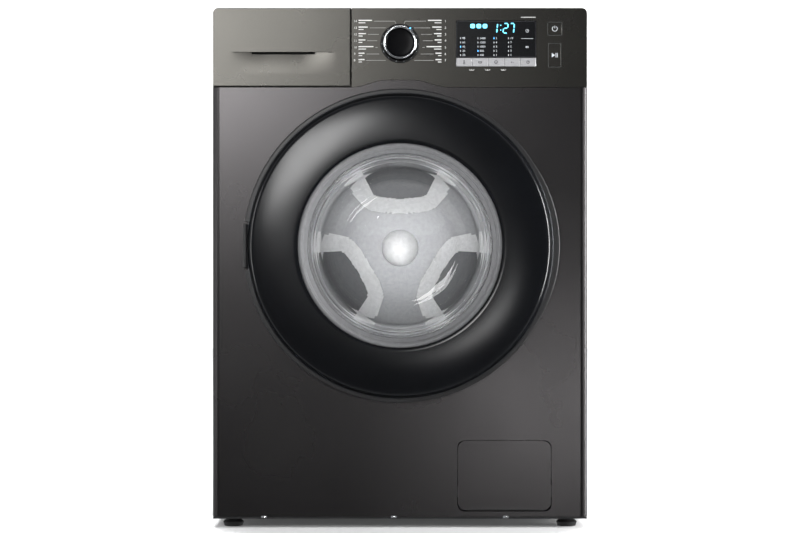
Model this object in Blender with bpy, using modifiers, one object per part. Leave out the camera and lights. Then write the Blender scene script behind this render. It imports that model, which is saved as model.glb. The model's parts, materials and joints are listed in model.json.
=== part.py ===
"""Front load washing machine, in metres, +Z up, front face towards -Y.

The origin is under the middle of the machine, on the surface that its feet stand on.
Sheet metal, plastic mouldings, the suspended tub with its drum and belt drive, the porthole
door and the controls are separate objects. An empty stands on each joint's axis.
"""

import math

import bmesh
import bpy
from mathutils import Matrix, Vector

# Overall size
WIDTH = 0.600
DEPTH = 0.550
HEIGHT = 0.830

# Clearances
GAP = 0.0003            # between pieces that touch
PLAY = 0.0008           # round a piece that slides or turns in its opening

# Cabinet
SHEET = 0.0012
DOOR_PROUD = 0.036      # the door in front of the front panel
REAR_PROUD = 0.012      # the water inlet behind the rear wall
FOOT_LIFT = 0.014       # under the base pan
PANEL_LIFT = 0.018      # under the front panel
PANEL_RETURN = 0.018    # depth of the folded edges of the front panel
FLANGE = 0.022          # width of the folded edges of the cabinet
TOP_THICK = 0.022
EDGE_ROUND = 0.012      # the front corners of the cabinet
BASE_WALL = PANEL_LIFT - FOOT_LIFT - GAP
BASE_RIM = 0.030

# Control panel
SEAM = 0.7025           # height of its lower edge
ARCH_RISE = 0.0117      # how far the seam rises over the door
ARCH_FLAT = 0.020       # half width of the top of the rise
ARCH_FOOT = 0.078       # half width of the whole rise
FASCIA_INSET = 0.0015
FASCIA_DEPTH = 0.021
FASCIA_WALL = 0.0025
DRAWER_SPLIT = -0.0770  # where the drawer front meets the control panel

# Door and the openings behind it
DOOR_HEIGHT = 0.450     # centre of door, tub and drum above the floor
DOOR_RADIUS = 0.242
BACK_RING_RADIUS = 0.250
GRIP_REACH = 0.0045     # how far the grip stands out beyond the back ring
GRIP_CURVE = 0.228
WINDOW_RADIUS = 0.1625
TRIM_WIDTH = 0.0125
DOOR_GAP = 0.002        # between the door and the front panel
BACK_RING_THICK = 0.010
BOWL_DEPTH = 0.120      # the glass behind the front panel's face
BOWL_TIP = 0.088
GLASS_WALL = 0.004
PORTHOLE_RADIUS = 0.1680

# Tub, drum and drive
TUB_RADIUS = 0.268
TUB_WALL = 0.003
TUB_FRONT_GAP = 0.070   # from the front panel's face to the tub
TUB_REAR_GAP = 0.075    # from the rear wall to the tub
DRUM_RADIUS = 0.245
DRUM_WALL = 0.0015
DRUM_END_GAP = 0.017
DRUM_MOUTH = 0.160
SHAFT_RADIUS = 0.0125
BEARING_RADIUS = 0.031
BEARING_WIDTH = 0.015
PULLEY_RADIUS = 0.150
MOTOR_PULLEY_RADIUS = 0.0110
BELT_THICK = 0.003
BELT_WIDTH = 0.014
MOTOR_RADIUS = 0.060
MOTOR_X = -0.020
MOTOR_HEIGHT = 0.108

# Suspension
DAMPER_X = 0.200
DAMPER_BORE = 0.0105
DAMPER_RADIUS = 0.014
ROD_RADIUS = 0.006
SPRING_X = 0.205
SPRING_Y = 0.110
SPRING_RADIUS = 0.013
WIRE_RADIUS = 0.0016
SPRING_TURNS = 7

# Detergent drawer
TRAY_WIDTH = 0.170
TRAY_HEIGHT = 0.066
TRAY_DEPTH = 0.270
TRAY_WALL = 0.002
TRAY_BOTTOM = 0.723

# Controls
DIAL_HEIGHT = 0.7728
DIAL_RADIUS = 0.0265
DIAL_PROUD = 0.020
WINDOW_LEFT = 0.0895
WINDOW_WIDTH = 0.1277
WINDOW_BOTTOM = 0.7503
WINDOW_TOP = 0.8093
KEY_HEIGHT = 0.0139
KEY_COUNT = 5
BUTTON_THICK = 0.006
POWER_CENTRE = (0.2470, 0.7963)
POWER_SIZE = (0.0219, 0.0196)
START_CENTRE = (0.2468, 0.7541)
START_SIZE = (0.0190, 0.0367)

# Pump and its flap
FLAP_LEFT = 0.0925
FLAP_WIDTH = 0.1485
FLAP_BOTTOM = 0.0268
FLAP_HEIGHT = 0.1117
FLAP_THICK = 0.0026
FLAP_CORNER = 0.012
FLAP_EASE = 0.0015      # how much tighter the corners of its hole are, so that it swings clear
FILTER_RADIUS = 0.029
FILTER_HEIGHT = 0.082

# Feet
FOOT_X = 0.268
FOOT_INSET = 0.034      # from the front panel and from the rear wall
FOOT_RADIUS = 0.0167
STUD_RADIUS = 0.005

# Services at the rear
INLET_X, INLET_HEIGHT, INLET_RADIUS = 0.215, 0.755, 0.0132
DRAIN_X, DRAIN_HEIGHT, DRAIN_RADIUS = 0.262, 0.640, 0.0120
CORD_X, CORD_HEIGHT, CORD_RADIUS = -0.262, 0.640, 0.0085

# Rear service cover
COVER_WIDTH = 0.400
COVER_HEIGHT = 0.440
COVER_LAP = 0.012

FRONT = -DEPTH / 2 + DOOR_PROUD
BACK = DEPTH / 2 - REAR_PROUD
WALL_TOP = HEIGHT - TOP_THICK - GAP
TUB_FRONT = FRONT + TUB_FRONT_GAP
TUB_BACK = BACK - TUB_REAR_GAP
TUB_SPLIT = (TUB_FRONT + TUB_BACK) / 2 + 0.02
DRUM_FRONT = TUB_FRONT + DRUM_END_GAP
DRUM_BACK = TUB_BACK - DRUM_END_GAP - 0.012
BELT_Y = TUB_BACK + 0.036
DOOR_BACK = FRONT - DOOR_GAP
DOOR_MIDDLE = DOOR_BACK - BACK_RING_THICK
HINGE_X = -(BACK_RING_RADIUS - 0.004)
HINGE_Y = DOOR_MIDDLE
SEGMENTS = 48           # round the large turned shapes that show
INNER_SEGMENTS = 36     # round those inside


# ---------------------------------------------------------------- scene and helpers

def clear_scene():
    for obj in list(bpy.data.objects):
        bpy.data.objects.remove(obj, do_unlink=True)
    for collection in list(bpy.data.collections):
        bpy.data.collections.remove(collection)


def add_collection(name):
    collection = bpy.data.collections.new(name)
    bpy.context.scene.collection.children.link(collection)
    return collection


def material(name, colour, roughness, metallic=0.0, transmission=0.0):
    made = bpy.data.materials.new(name)
    made.use_nodes = True
    shader = made.node_tree.nodes["Principled BSDF"]
    shader.inputs["Base Color"].default_value = (*colour, 1.0)
    shader.inputs["Roughness"].default_value = roughness
    shader.inputs["Metallic"].default_value = metallic
    shader.inputs["Transmission Weight"].default_value = transmission
    return made


clear_scene()
PARTS = add_collection("front_load_washing_machine")
CUTTERS = add_collection("cutters")

GRAPHITE = ("graphite_paint", (0.085, 0.080, 0.080), 0.35, 0.6)
FASCIA = ("graphite_plastic", (0.100, 0.098, 0.092), 0.40, 0.4)
BLACK_GLOSS = ("black_gloss", (0.008, 0.009, 0.011), 0.10)
BLACK_PLASTIC = ("black_plastic", (0.020, 0.020, 0.021), 0.50)
GALVANISED = ("galvanised_steel", (0.42, 0.43, 0.44), 0.45, 0.9)
STAINLESS = ("stainless_steel", (0.60, 0.60, 0.61), 0.25, 1.0)
CHROME = ("chrome", (0.75, 0.76, 0.78), 0.08, 1.0)
GREY_PLASTIC = ("grey_plastic", (0.45, 0.46, 0.47), 0.55)
WHITE_PLASTIC = ("white_plastic", (0.75, 0.75, 0.74), 0.50)
RUBBER_GREY = ("grey_rubber", (0.22, 0.22, 0.23), 0.80)
RUBBER_BLACK = ("black_rubber", (0.015, 0.015, 0.015), 0.85)
CAST = ("cast_aluminium", (0.50, 0.51, 0.52), 0.50, 0.9)
CONCRETE = ("concrete", (0.40, 0.39, 0.37), 0.90)
LAMINATE = ("graphite_laminate", (0.085, 0.080, 0.080), 0.45)
GLASS = ("clear_glass", (0.90, 0.93, 0.95), 0.02, 0.0, 1.0)
SILVER = ("silver_paint", (0.62, 0.62, 0.63), 0.30, 0.7)


def dress(obj, look):
    """One material of the object's own, with the colour and finish that the look names."""
    kind, colour, roughness, *rest = look
    obj.data.materials.clear()
    obj.data.materials.append(material(f"{obj.name}_{kind}", colour, roughness, *rest))
    return obj


def place(name, mesh, centre, collection):
    obj = bpy.data.objects.new(name, mesh)
    obj.location = centre
    collection.objects.link(obj)
    return obj


def as_cutter(obj):
    obj.hide_render = True
    obj.display_type = "WIRE"
    return obj


def shade(mesh, angle=35.0):
    mesh.shade_smooth()
    mesh.set_sharp_from_angle(angle=math.radians(angle))


def box(name, low, high, collection=None):
    """A block between two corners, with its origin at its centre."""
    low, high = Vector(low), Vector(high)
    size = high - low
    mesh = bpy.data.meshes.new(name)
    shape = bmesh.new()
    bmesh.ops.create_cube(shape, size=1.0)
    bmesh.ops.scale(shape, vec=size, verts=shape.verts)
    shape.to_mesh(mesh)
    shape.free()
    return place(name, mesh, (low + high) / 2, collection or PARTS)


TURN = {
    "x": Matrix.Rotation(math.pi / 2, 4, "Y"),
    "y": Matrix.Rotation(math.pi / 2, 4, "X"),
    "z": Matrix.Identity(4),
}


def cylinder(name, centre, radius, length, axis="y", collection=None, segments=32):
    """A round bar along an axis, centred on a point. Its local +Z faces the front for axis y."""
    mesh = bpy.data.meshes.new(name)
    shape = bmesh.new()
    bmesh.ops.create_cone(
        shape,
        cap_ends=True,
        segments=segments,
        radius1=radius,
        radius2=radius,
        depth=length,
        matrix=TURN[axis],
    )
    shape.to_mesh(mesh)
    shape.free()
    shade(mesh)
    return place(name, mesh, centre, collection or PARTS)


def turned(name, centre, profile, axis="y", collection=None, segments=SEGMENTS, closed=True):
    """A shape turned from (radius, height) points. Heights run towards the front for axis y."""
    mesh = bpy.data.meshes.new(name)
    points = [(radius, 0.0, height) for radius, height in profile]
    edges = [(i, i + 1) for i in range(len(points) - 1)]
    if closed:
        edges.append((len(points) - 1, 0))
    mesh.from_pydata(points, edges, [])
    obj = place(name, mesh, centre, collection or PARTS)
    obj.matrix_world = Matrix.Translation(centre) @ TURN[axis]
    screw = obj.modifiers.new("turn", "SCREW")
    screw.axis = "Z"
    screw.angle = 2 * math.pi
    screw.steps = segments
    screw.render_steps = segments
    screw.use_merge_vertices = True
    screw.merge_threshold = 0.00001
    screw.use_smooth_shade = True
    return obj


def as_mesh(obj):
    """The evaluated curve as a mesh object with the same name and place, its caps welded."""
    bpy.context.view_layer.update()
    graph = bpy.context.evaluated_depsgraph_get()
    mesh = bpy.data.meshes.new_from_object(obj.evaluated_get(graph))
    shape = bmesh.new()
    shape.from_mesh(mesh)
    bmesh.ops.remove_doubles(shape, verts=shape.verts, dist=0.000001)
    bmesh.ops.recalc_face_normals(shape, faces=shape.faces)
    shape.to_mesh(mesh)
    shape.free()
    name, world, collection = obj.name, obj.matrix_world.copy(), obj.users_collection[0]
    bpy.data.objects.remove(obj, do_unlink=True)
    made = bpy.data.objects.new(name, mesh)
    made.matrix_world = world
    collection.objects.link(made)
    shade(mesh)
    return made


STAND = {
    "y": Matrix.Rotation(math.pi / 2, 4, "X"),   # the outline's x and y become X and Z
    "z": Matrix.Identity(4),
}


def plate(name, outlines, low, high, normal="y", collection=None):
    """Flat outlines, the first round the others, between two places along the normal."""
    curve = bpy.data.curves.new(name, "CURVE")
    curve.dimensions = "2D"
    curve.fill_mode = "BOTH"
    curve.extrude = (high - low) / 2
    for outline in outlines:
        spline = curve.splines.new("POLY")
        spline.points.add(len(outline) - 1)
        for point, (x, y) in zip(spline.points, outline):
            point.co = (x, y, 0.0, 1.0)
        spline.use_cyclic_u = True
    obj = bpy.data.objects.new(name, curve)
    middle = (low + high) / 2
    shift = (0.0, middle, 0.0) if normal == "y" else (0.0, 0.0, middle)
    obj.matrix_world = Matrix.Translation(shift) @ STAND[normal]
    (collection or PARTS).objects.link(obj)
    return as_mesh(obj)


def tube(name, points, radius, sides=1, collection=None):
    """A round wire or hose along points."""
    curve = bpy.data.curves.new(name, "CURVE")
    curve.dimensions = "3D"
    curve.bevel_depth = radius
    curve.bevel_resolution = sides
    curve.use_fill_caps = True
    spline = curve.splines.new("POLY")
    spline.points.add(len(points) - 1)
    for point, place_of in zip(spline.points, points):
        point.co = (*place_of, 1.0)
    obj = bpy.data.objects.new(name, curve)
    (collection or PARTS).objects.link(obj)
    return as_mesh(obj)


def combine(obj, other, operation):
    boolean = obj.modifiers.new(f"{operation.lower()} {other.name}", "BOOLEAN")
    boolean.operation = operation
    boolean.solver = "EXACT"
    boolean.object = other
    if other.name not in CUTTERS.objects:
        for collection in list(other.users_collection):
            collection.objects.unlink(other)
        CUTTERS.objects.link(other)
    as_cutter(other)
    return obj


def cut(obj, *others):
    for other in others:
        combine(obj, other, "DIFFERENCE")
    return obj


def join(obj, *others):
    for other in others:
        combine(obj, other, "UNION")
    return obj


def rounded(obj, width, segments=3, keep=None):
    """Bevels the edges that keep(edge, mesh) picks, or all of them."""
    shape = bmesh.new()
    shape.from_mesh(obj.data)
    edges = [e for e in shape.edges if keep is None or keep(e)]
    bmesh.ops.bevel(
        shape, geom=edges, offset=width, segments=segments, profile=0.5,
        affect="EDGES", clamp_overlap=True,
    )
    shape.to_mesh(obj.data)
    shape.free()
    shade(obj.data)
    return obj


def along(axis):
    """Picks the edges that run along one axis: 0, 1 or 2."""
    others = [i for i in range(3) if i != axis]

    def runs(edge):
        step = edge.verts[0].co - edge.verts[1].co
        return all(abs(step[i]) < 1e-6 for i in others)

    return runs


def arc(centre, radius, start, stop, steps):
    """Points of an arc, with angles in degrees."""
    for i in range(steps + 1):
        angle = math.radians(start + (stop - start) * i / steps)
        yield (centre[0] + radius * math.cos(angle), centre[1] + radius * math.sin(angle))


def round_rectangle(left, bottom, right, top, radius, steps=4):
    corners = (
        ((right - radius, top - radius), 0),
        ((left + radius, top - radius), 90),
        ((left + radius, bottom + radius), 180),
        ((right - radius, bottom + radius), 270),
    )
    points = []
    for centre, start in corners:
        points.extend(arc(centre, radius, start, start + 90, steps))
    return points


def circle(x, y, radius, segments=SEGMENTS):
    return list(arc((x, y), radius, 0, 360 - 360 / segments, segments - 1))


def pivot(name, where, *pieces):
    """An empty on a joint's axis, with the pieces that move with it as its children."""
    empty = bpy.data.objects.new(name, None)
    empty.empty_display_size = 0.02
    empty.location = where
    PARTS.objects.link(empty)
    for piece in pieces:
        piece.parent = empty
        piece.matrix_parent_inverse = Matrix.Translation(where).inverted()
    return empty


def ring(name, profile, centre_x=0.0, height=DOOR_HEIGHT, closed=True, segments=SEGMENTS, look=None):
    """A shape turned about an axis along Y, from (radius, Y) points, front to back on its outer side."""
    points = [(radius, -y) for radius, y in profile]
    obj = turned(name, (centre_x, 0.0, height), points, "y", None, segments, closed)
    return dress(obj, look) if look else obj


# ---------------------------------------------------------------- cabinet

def seam_height(x):
    """Height of the lower edge of the control panel, which rises in an arch over the door."""
    away = (abs(x) - ARCH_FLAT) / (ARCH_FOOT - ARCH_FLAT)
    away = min(max(away, 0.0), 1.0)
    return SEAM + ARCH_RISE * (0.5 + 0.5 * math.cos(math.pi * away))


def seam_side(name, shift, far):
    """A cutter that fills the space on one side of the seam, out to a height."""
    steps = 24
    xs = [-ARCH_FOOT + 2 * ARCH_FOOT * i / steps for i in range(steps + 1)]
    edge = [(-WIDTH, SEAM + shift)]
    edge += [(x, seam_height(x) + shift) for x in xs]
    edge += [(WIDTH, SEAM + shift), (WIDTH, far), (-WIDTH, far)]
    return plate(name, [edge], FRONT - 0.02, FRONT + 0.05, "y", CUTTERS)


def sheet_section(front, back, half, wall, radius):
    """Plan of a sheet bent round two rounded corners, seen from above."""
    outer = [(-half, back)]
    outer += arc((-half + radius, front + radius), radius, 180, 270, 5)
    outer += arc((half - radius, front + radius), radius, 270, 360, 5)
    outer += [(half, back), (half - wall, back)]
    inner = list(arc((half - radius, front + radius), radius - wall, 360, 270, 5))
    inner += arc((-half + radius, front + radius), radius - wall, 270, 180, 5)
    return outer + inner + [(-half + wall, back)]


def cabinet_wrap():
    half, front = WIDTH / 2, FRONT + PANEL_RETURN + GAP
    inner = half - SHEET
    flange = half - FLANGE
    section = [
        (-flange, front), (-half, front), (-half, BACK), (half, BACK), (half, front), (flange, front),
        (flange, front + SHEET), (inner, front + SHEET), (inner, BACK - SHEET),
        (-inner, BACK - SHEET), (-inner, front + SHEET), (-flange, front + SHEET),
    ]
    wrap = plate("cabinet_wrap", [section], PANEL_LIFT, WALL_TOP, "z")
    reach = (BACK - 0.01, BACK + 0.01)
    opening = plate(
        "rear_opening_cutter",
        [round_rectangle(
            -COVER_WIDTH / 2, DOOR_HEIGHT - COVER_HEIGHT / 2,
            COVER_WIDTH / 2, DOOR_HEIGHT + COVER_HEIGHT / 2, 0.05,
        )],
        *reach, "y", CUTTERS,
    )
    notch = box(
        "wrap_notch_cutter",
        (-WIDTH, FRONT, SEAM - GAP), (WIDTH, FRONT + FASCIA_DEPTH + GAP, HEIGHT), CUTTERS,
    )
    cut(wrap, opening, notch)
    for name, x, height, radius in (
        ("inlet", INLET_X, INLET_HEIGHT, INLET_RADIUS),
        ("drain", DRAIN_X, DRAIN_HEIGHT, DRAIN_RADIUS),
        ("cord", CORD_X, CORD_HEIGHT, CORD_RADIUS),
    ):
        hole = cylinder(f"{name}_hole_cutter", (x, BACK, height), radius + GAP, 0.02, "y", CUTTERS, 24)
        cut(wrap, hole)
    return dress(wrap, GRAPHITE)


def foot_places():
    ys = {"front": FRONT + FOOT_INSET, "rear": BACK - FOOT_INSET}
    for end, y in ys.items():
        for side, x in (("left", -FOOT_X), ("right", FOOT_X)):
            yield f"foot_{end}_{side}", x, y


def base_pan():
    half, inner = WIDTH / 2 - FASCIA_INSET, WIDTH / 2 - SHEET - GAP
    top = FOOT_LIFT + BASE_WALL
    pan = box("base_pan", (-half, FRONT + 0.003, FOOT_LIFT), (half, BACK - 0.0015, top))
    low = (-inner, FRONT + PANEL_RETURN + SHEET + 2 * GAP, FOOT_LIFT + 0.001)
    high = (inner, BACK - SHEET - GAP, top + BASE_RIM)
    rim = box("base_rim_cutter", low, high, CUTTERS)
    pocket = box(
        "base_pocket_cutter",
        (low[0] + 0.003, low[1] + 0.003, top),
        (high[0] - 0.003, high[1] - 0.003, high[2] + 0.01),
        CUTTERS,
    )
    join(pan, rim)
    cut(pan, pocket)
    for name, x, y in foot_places():
        hole = cylinder(f"{name}_cutter", (x, y, top), STUD_RADIUS + GAP, 0.03, "z", CUTTERS, 24)
        cut(pan, hole)
    return dress(pan, BLACK_PLASTIC)


def flap_outline(grow, low, corner=FLAP_CORNER):
    return round_rectangle(
        FLAP_LEFT - grow, low - grow, FLAP_LEFT + FLAP_WIDTH + grow, FLAP_BOTTOM + FLAP_HEIGHT + grow,
        corner,
    )


def front_panel():
    half = WIDTH / 2
    section = sheet_section(FRONT, FRONT + PANEL_RETURN, half, SHEET, EDGE_ROUND)
    panel = plate("front_panel", [section], PANEL_LIFT, SEAM + ARCH_RISE, "z")
    hem = box(
        "front_hem_cutter",
        (-half + EDGE_ROUND, FRONT + SHEET / 2, PANEL_LIFT),
        (half - EDGE_ROUND, FRONT + PANEL_RETURN, PANEL_LIFT + SHEET),
        CUTTERS,
    )
    join(panel, hem)
    reach = (FRONT - 0.01, FRONT + 0.01)
    round_hole = plate(
        "porthole_cutter", [circle(0, DOOR_HEIGHT, PORTHOLE_RADIUS)], *reach, "y", CUTTERS
    )
    flap_hole = plate(
        "flap_hole_cutter", [flap_outline(PLAY, FLAP_BOTTOM, FLAP_CORNER - FLAP_EASE)],
        *reach, "y", CUTTERS,
    )
    slot = box(
        "latch_slot_cutter",
        (HOOK_X - 0.007, reach[0], DOOR_HEIGHT - 0.010),
        (HOOK_X + 0.013, reach[1], DOOR_HEIGHT + 0.010),
        CUTTERS,
    )
    cut(panel, seam_side("panel_seam_cutter", 0.0, HEIGHT), round_hole, flap_hole, slot)
    return dress(panel, GRAPHITE)


def top_panel():
    low = (-WIDTH / 2 + FASCIA_INSET / 2, FRONT + FASCIA_DEPTH + GAP, HEIGHT - TOP_THICK)
    top = box("top_panel", low, (-low[0], BACK, HEIGHT))
    rounded(top, 0.007, 3, lambda edge: along(1)(edge) and edge.verts[0].co.z > 0)
    return dress(top, LAMINATE)


def rear_cover():
    cover = plate(
        "rear_cover",
        [round_rectangle(
            -COVER_WIDTH / 2 - COVER_LAP, DOOR_HEIGHT - COVER_HEIGHT / 2 - COVER_LAP,
            COVER_WIDTH / 2 + COVER_LAP, DOOR_HEIGHT + COVER_HEIGHT / 2 + COVER_LAP,
            0.05 + COVER_LAP,
        )],
        BACK + GAP, BACK + GAP + SHEET, "y",
    )
    return dress(cover, GALVANISED)


def spring_rail():
    half = WIDTH / 2 - SHEET - GAP
    rail = box(
        "spring_rail",
        (-half, SPRING_Y - 0.015, WALL_TOP - 0.018),
        (half, SPRING_Y + 0.015, WALL_TOP - 0.002),
    )
    groove = box(
        "rail_groove_cutter",
        (-half - 0.01, SPRING_Y - 0.0135, WALL_TOP - 0.0165),
        (half + 0.01, SPRING_Y + 0.0135, WALL_TOP),
        CUTTERS,
    )
    cut(rail, groove)
    return dress(rail, GALVANISED)


# ---------------------------------------------------------------- control panel and its controls

FASCIA_TOP = HEIGHT - 0.0005
FASCIA_HALF = WIDTH / 2 - FASCIA_INSET
RECESS_PLATE = 0.0025   # plate behind the drawer front
TRAY_X = (DRAWER_SPLIT - FASCIA_HALF) / 2 + 0.0015
TRAY_FRONT = FRONT + FASCIA_DEPTH - RECESS_PLATE - GAP
CORNER = 0.008
HOOK_X = 0.206


def fascia_outline(left, right, round_left, round_right):
    """Outline of a piece of the control panel, with its top corners rounded where asked."""
    low = SEAM - 0.002
    points = [(right, low)]
    if round_right:
        points += arc((right - CORNER, FASCIA_TOP - CORNER), CORNER, 0, 90, 5)
    else:
        points.append((right, FASCIA_TOP))
    if round_left:
        points += arc((left + CORNER, FASCIA_TOP - CORNER), CORNER, 90, 180, 5)
    else:
        points.append((left, FASCIA_TOP))
    return points + [(left, low)]


def tray_box(grow):
    left, right = TRAY_X - TRAY_WIDTH / 2 - grow, TRAY_X + TRAY_WIDTH / 2 + grow
    return left, TRAY_BOTTOM - grow, right, TRAY_BOTTOM + TRAY_HEIGHT + grow


def control_panel():
    back = FRONT + FASCIA_DEPTH
    panel = plate(
        "control_panel", [fascia_outline(DRAWER_SPLIT, FASCIA_HALF, False, True)], FRONT, back, "y"
    )
    hollow = box(
        "fascia_hollow_cutter",
        (DRAWER_SPLIT + FASCIA_WALL, FRONT + FASCIA_WALL, SEAM + ARCH_RISE + FASCIA_WALL),
        (FASCIA_HALF - FASCIA_WALL, back + 0.01, FASCIA_TOP - CORNER),
        CUTTERS,
    )
    frame = plate(
        "drawer_frame_cutter",
        [fascia_outline(-FASCIA_HALF, DRAWER_SPLIT + 0.001, True, False)],
        back - RECESS_PLATE, back, "y", CUTTERS,
    )
    left, low, right, high = tray_box(PLAY)
    mouth = box("tray_mouth_cutter", (left, back - 0.01, low), (right, back + 0.01, high), CUTTERS)
    cut(panel, hollow)
    join(panel, frame)
    cut(panel, mouth, seam_side("fascia_seam_cutter", 2 * GAP, SEAM - 0.05))
    for hole in control_holes():
        cut(panel, hole)
    return dress(panel, FASCIA)


def control_holes():
    """Cutters for the dial, the window with its keys, and the two buttons."""
    reach = (FRONT - 0.01, FRONT + 0.01)
    right = WINDOW_LEFT + WINDOW_WIDTH
    low = WINDOW_BOTTOM - GAP - KEY_HEIGHT
    yield cylinder(
        "dial_hole_cutter", (0, FRONT, DIAL_HEIGHT), DIAL_RADIUS + PLAY, 0.02, "y", CUTTERS, 48
    )
    yield plate(
        "window_hole_cutter",
        [round_rectangle(WINDOW_LEFT - GAP, low - GAP, right + GAP, WINDOW_TOP + GAP, 0.0007, 1)],
        *reach, "y", CUTTERS,
    )
    for name, (x, z), (wide, tall) in (
        ("power", POWER_CENTRE, POWER_SIZE),
        ("start", START_CENTRE, START_SIZE),
    ):
        grow = PLAY / 2
        yield box(
            f"{name}_hole_cutter",
            (x - wide / 2 - grow, reach[0], z - tall / 2 - grow),
            (x + wide / 2 + grow, reach[1], z + tall / 2 + grow),
            CUTTERS,
        )


def display_window():
    window = plate(
        "display_window",
        [round_rectangle(
            WINDOW_LEFT, WINDOW_BOTTOM, WINDOW_LEFT + WINDOW_WIDTH, WINDOW_TOP, 0.0025, 3
        )],
        FRONT + 0.0002, FRONT + 0.0035, "y",
    )
    return dress(window, BLACK_GLOSS)


def dial():
    front, back = FRONT - DIAL_PROUD, FRONT + 0.008
    radius = DIAL_RADIUS
    knob = ring(
        "dial_knob",
        [
            (0.0, front + 0.0012), (radius - 0.0050, front + 0.0012), (radius - 0.0042, front),
            (radius - 0.0018, front), (radius - 0.0008, front + 0.0010), (radius, front + 0.012),
            (radius, back), (0.0, back),
        ],
        0.0, DIAL_HEIGHT, False, 40, BLACK_GLOSS,
    )
    pivot("dial_axis", (0.0, FRONT, DIAL_HEIGHT), knob)


def press_button(name, x, z, wide, tall, look):
    """A button that travels straight back, with its origin in the middle of its face."""
    button = box(
        name,
        (x - wide / 2, FRONT - 0.0004, z - tall / 2),
        (x + wide / 2, FRONT - 0.0004 + BUTTON_THICK, z + tall / 2),
    )
    rounded(button, 0.0005, 1)
    return dress(button, look)


def buttons():
    pitch = WINDOW_WIDTH / KEY_COUNT
    z = WINDOW_BOTTOM - GAP - KEY_HEIGHT / 2
    for number in range(KEY_COUNT):
        x = WINDOW_LEFT + pitch * (number + 0.5)
        press_button(f"option_key_{number + 1}", x, z, pitch - 2 * GAP, KEY_HEIGHT - GAP, SILVER)
    press_button("power_button", *POWER_CENTRE, *POWER_SIZE, FASCIA)
    press_button("start_button", *START_CENTRE, *START_SIZE, FASCIA)


# ---------------------------------------------------------------- detergent drawer

def drawer():
    back = TRAY_FRONT - GAP
    front = plate(
        "drawer_front",
        [fascia_outline(-FASCIA_HALF, DRAWER_SPLIT - 2 * GAP, True, False)],
        FRONT, back, "y",
    )
    cut(front, seam_side("drawer_seam_cutter", 2 * GAP, SEAM - 0.05), handle_scoop(), handle_pocket())
    dress(front, FASCIA)
    left, low, right, high = tray_box(0.0)
    tray = box("drawer_tray", (left, TRAY_FRONT, low), (right, TRAY_FRONT + TRAY_DEPTH, high))
    for number, (start, stop) in enumerate(compartments()):
        cup = box(
            f"compartment_{number}_cutter",
            (start, TRAY_FRONT + TRAY_WALL, low + TRAY_WALL),
            (stop, TRAY_FRONT + TRAY_DEPTH - TRAY_WALL, high + 0.01),
            CUTTERS,
        )
        cut(tray, cup)
    dress(tray, GREY_PLASTIC)
    pivot("drawer_slide", (TRAY_X, FRONT, TRAY_BOTTOM), front, tray)


def compartments():
    """Left and right edges of the wash, prewash and softener compartments."""
    left, _, right, _ = tray_box(0.0)
    shares = (0.45, 0.31, 0.24)
    room = right - left - TRAY_WALL * (len(shares) + 1)
    at = left + TRAY_WALL
    for share in shares:
        yield at, at + room * share
        at += room * share + TRAY_WALL


SCOOP_LEFT, SCOOP_RIGHT = TRAY_X - 0.0815, TRAY_X + 0.0815
SCOOP_LOW, SCOOP_HIGH = 0.7240, 0.7595
SCOOP_DEPTH = 0.0125


def handle_scoop():
    """The sloped hollow under the drawer's grip, deepest at its top."""
    mesh = bpy.data.meshes.new("scoop_cutter")
    shape = bmesh.new()
    section = [
        (FRONT - 0.002, SCOOP_LOW - 0.002 * (SCOOP_HIGH - SCOOP_LOW) / SCOOP_DEPTH),
        (FRONT + SCOOP_DEPTH, SCOOP_HIGH),
        (FRONT - 0.002, SCOOP_HIGH),
    ]
    face = shape.faces.new([shape.verts.new((SCOOP_LEFT, y, z)) for y, z in section])
    swept = bmesh.ops.extrude_face_region(shape, geom=[face])["geom"]
    moved = [v for v in swept if isinstance(v, bmesh.types.BMVert)]
    bmesh.ops.translate(shape, vec=(SCOOP_RIGHT - SCOOP_LEFT, 0, 0), verts=moved)
    bmesh.ops.recalc_face_normals(shape, faces=shape.faces)
    shape.to_mesh(mesh)
    shape.free()
    return place("scoop_cutter", mesh, (0, 0, 0), CUTTERS)


def handle_pocket():
    """The finger space behind the grip's lip."""
    return box(
        "finger_pocket_cutter",
        (TRAY_X - 0.051, FRONT + 0.004, SCOOP_HIGH - 0.004),
        (TRAY_X + 0.051, FRONT + SCOOP_DEPTH, SCOOP_HIGH + 0.014),
        CUTTERS,
    )


def dispenser_housing():
    left, low, right, high = tray_box(PLAY)
    wall = TRAY_WALL
    front, back = FRONT + FASCIA_DEPTH + GAP, TRAY_FRONT + TRAY_DEPTH + 0.010
    case = box("dispenser_housing", (left - wall, front, low - wall), (right + wall, back, high + wall))
    room = box(
        "dispenser_room_cutter", (left, front - 0.01, low), (right, back - wall, high), CUTTERS
    )
    cut(case, room)
    return dress(case, WHITE_PLASTIC)


# ---------------------------------------------------------------- door

KNUCKLE_RADIUS = 0.0036
PIN_RADIUS = 0.0018
KNUCKLE_HALF = 0.0215   # half length of the door's knuckle
LUG_NEAR, LUG_FAR = 0.022, 0.034
NOTCH_HALF = 0.037
NOTCH_X = -0.2222
FRAME_BACK = DOOR_MIDDLE - GAP
FLANGE_FRONT = FRAME_BACK - 0.0042


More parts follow.
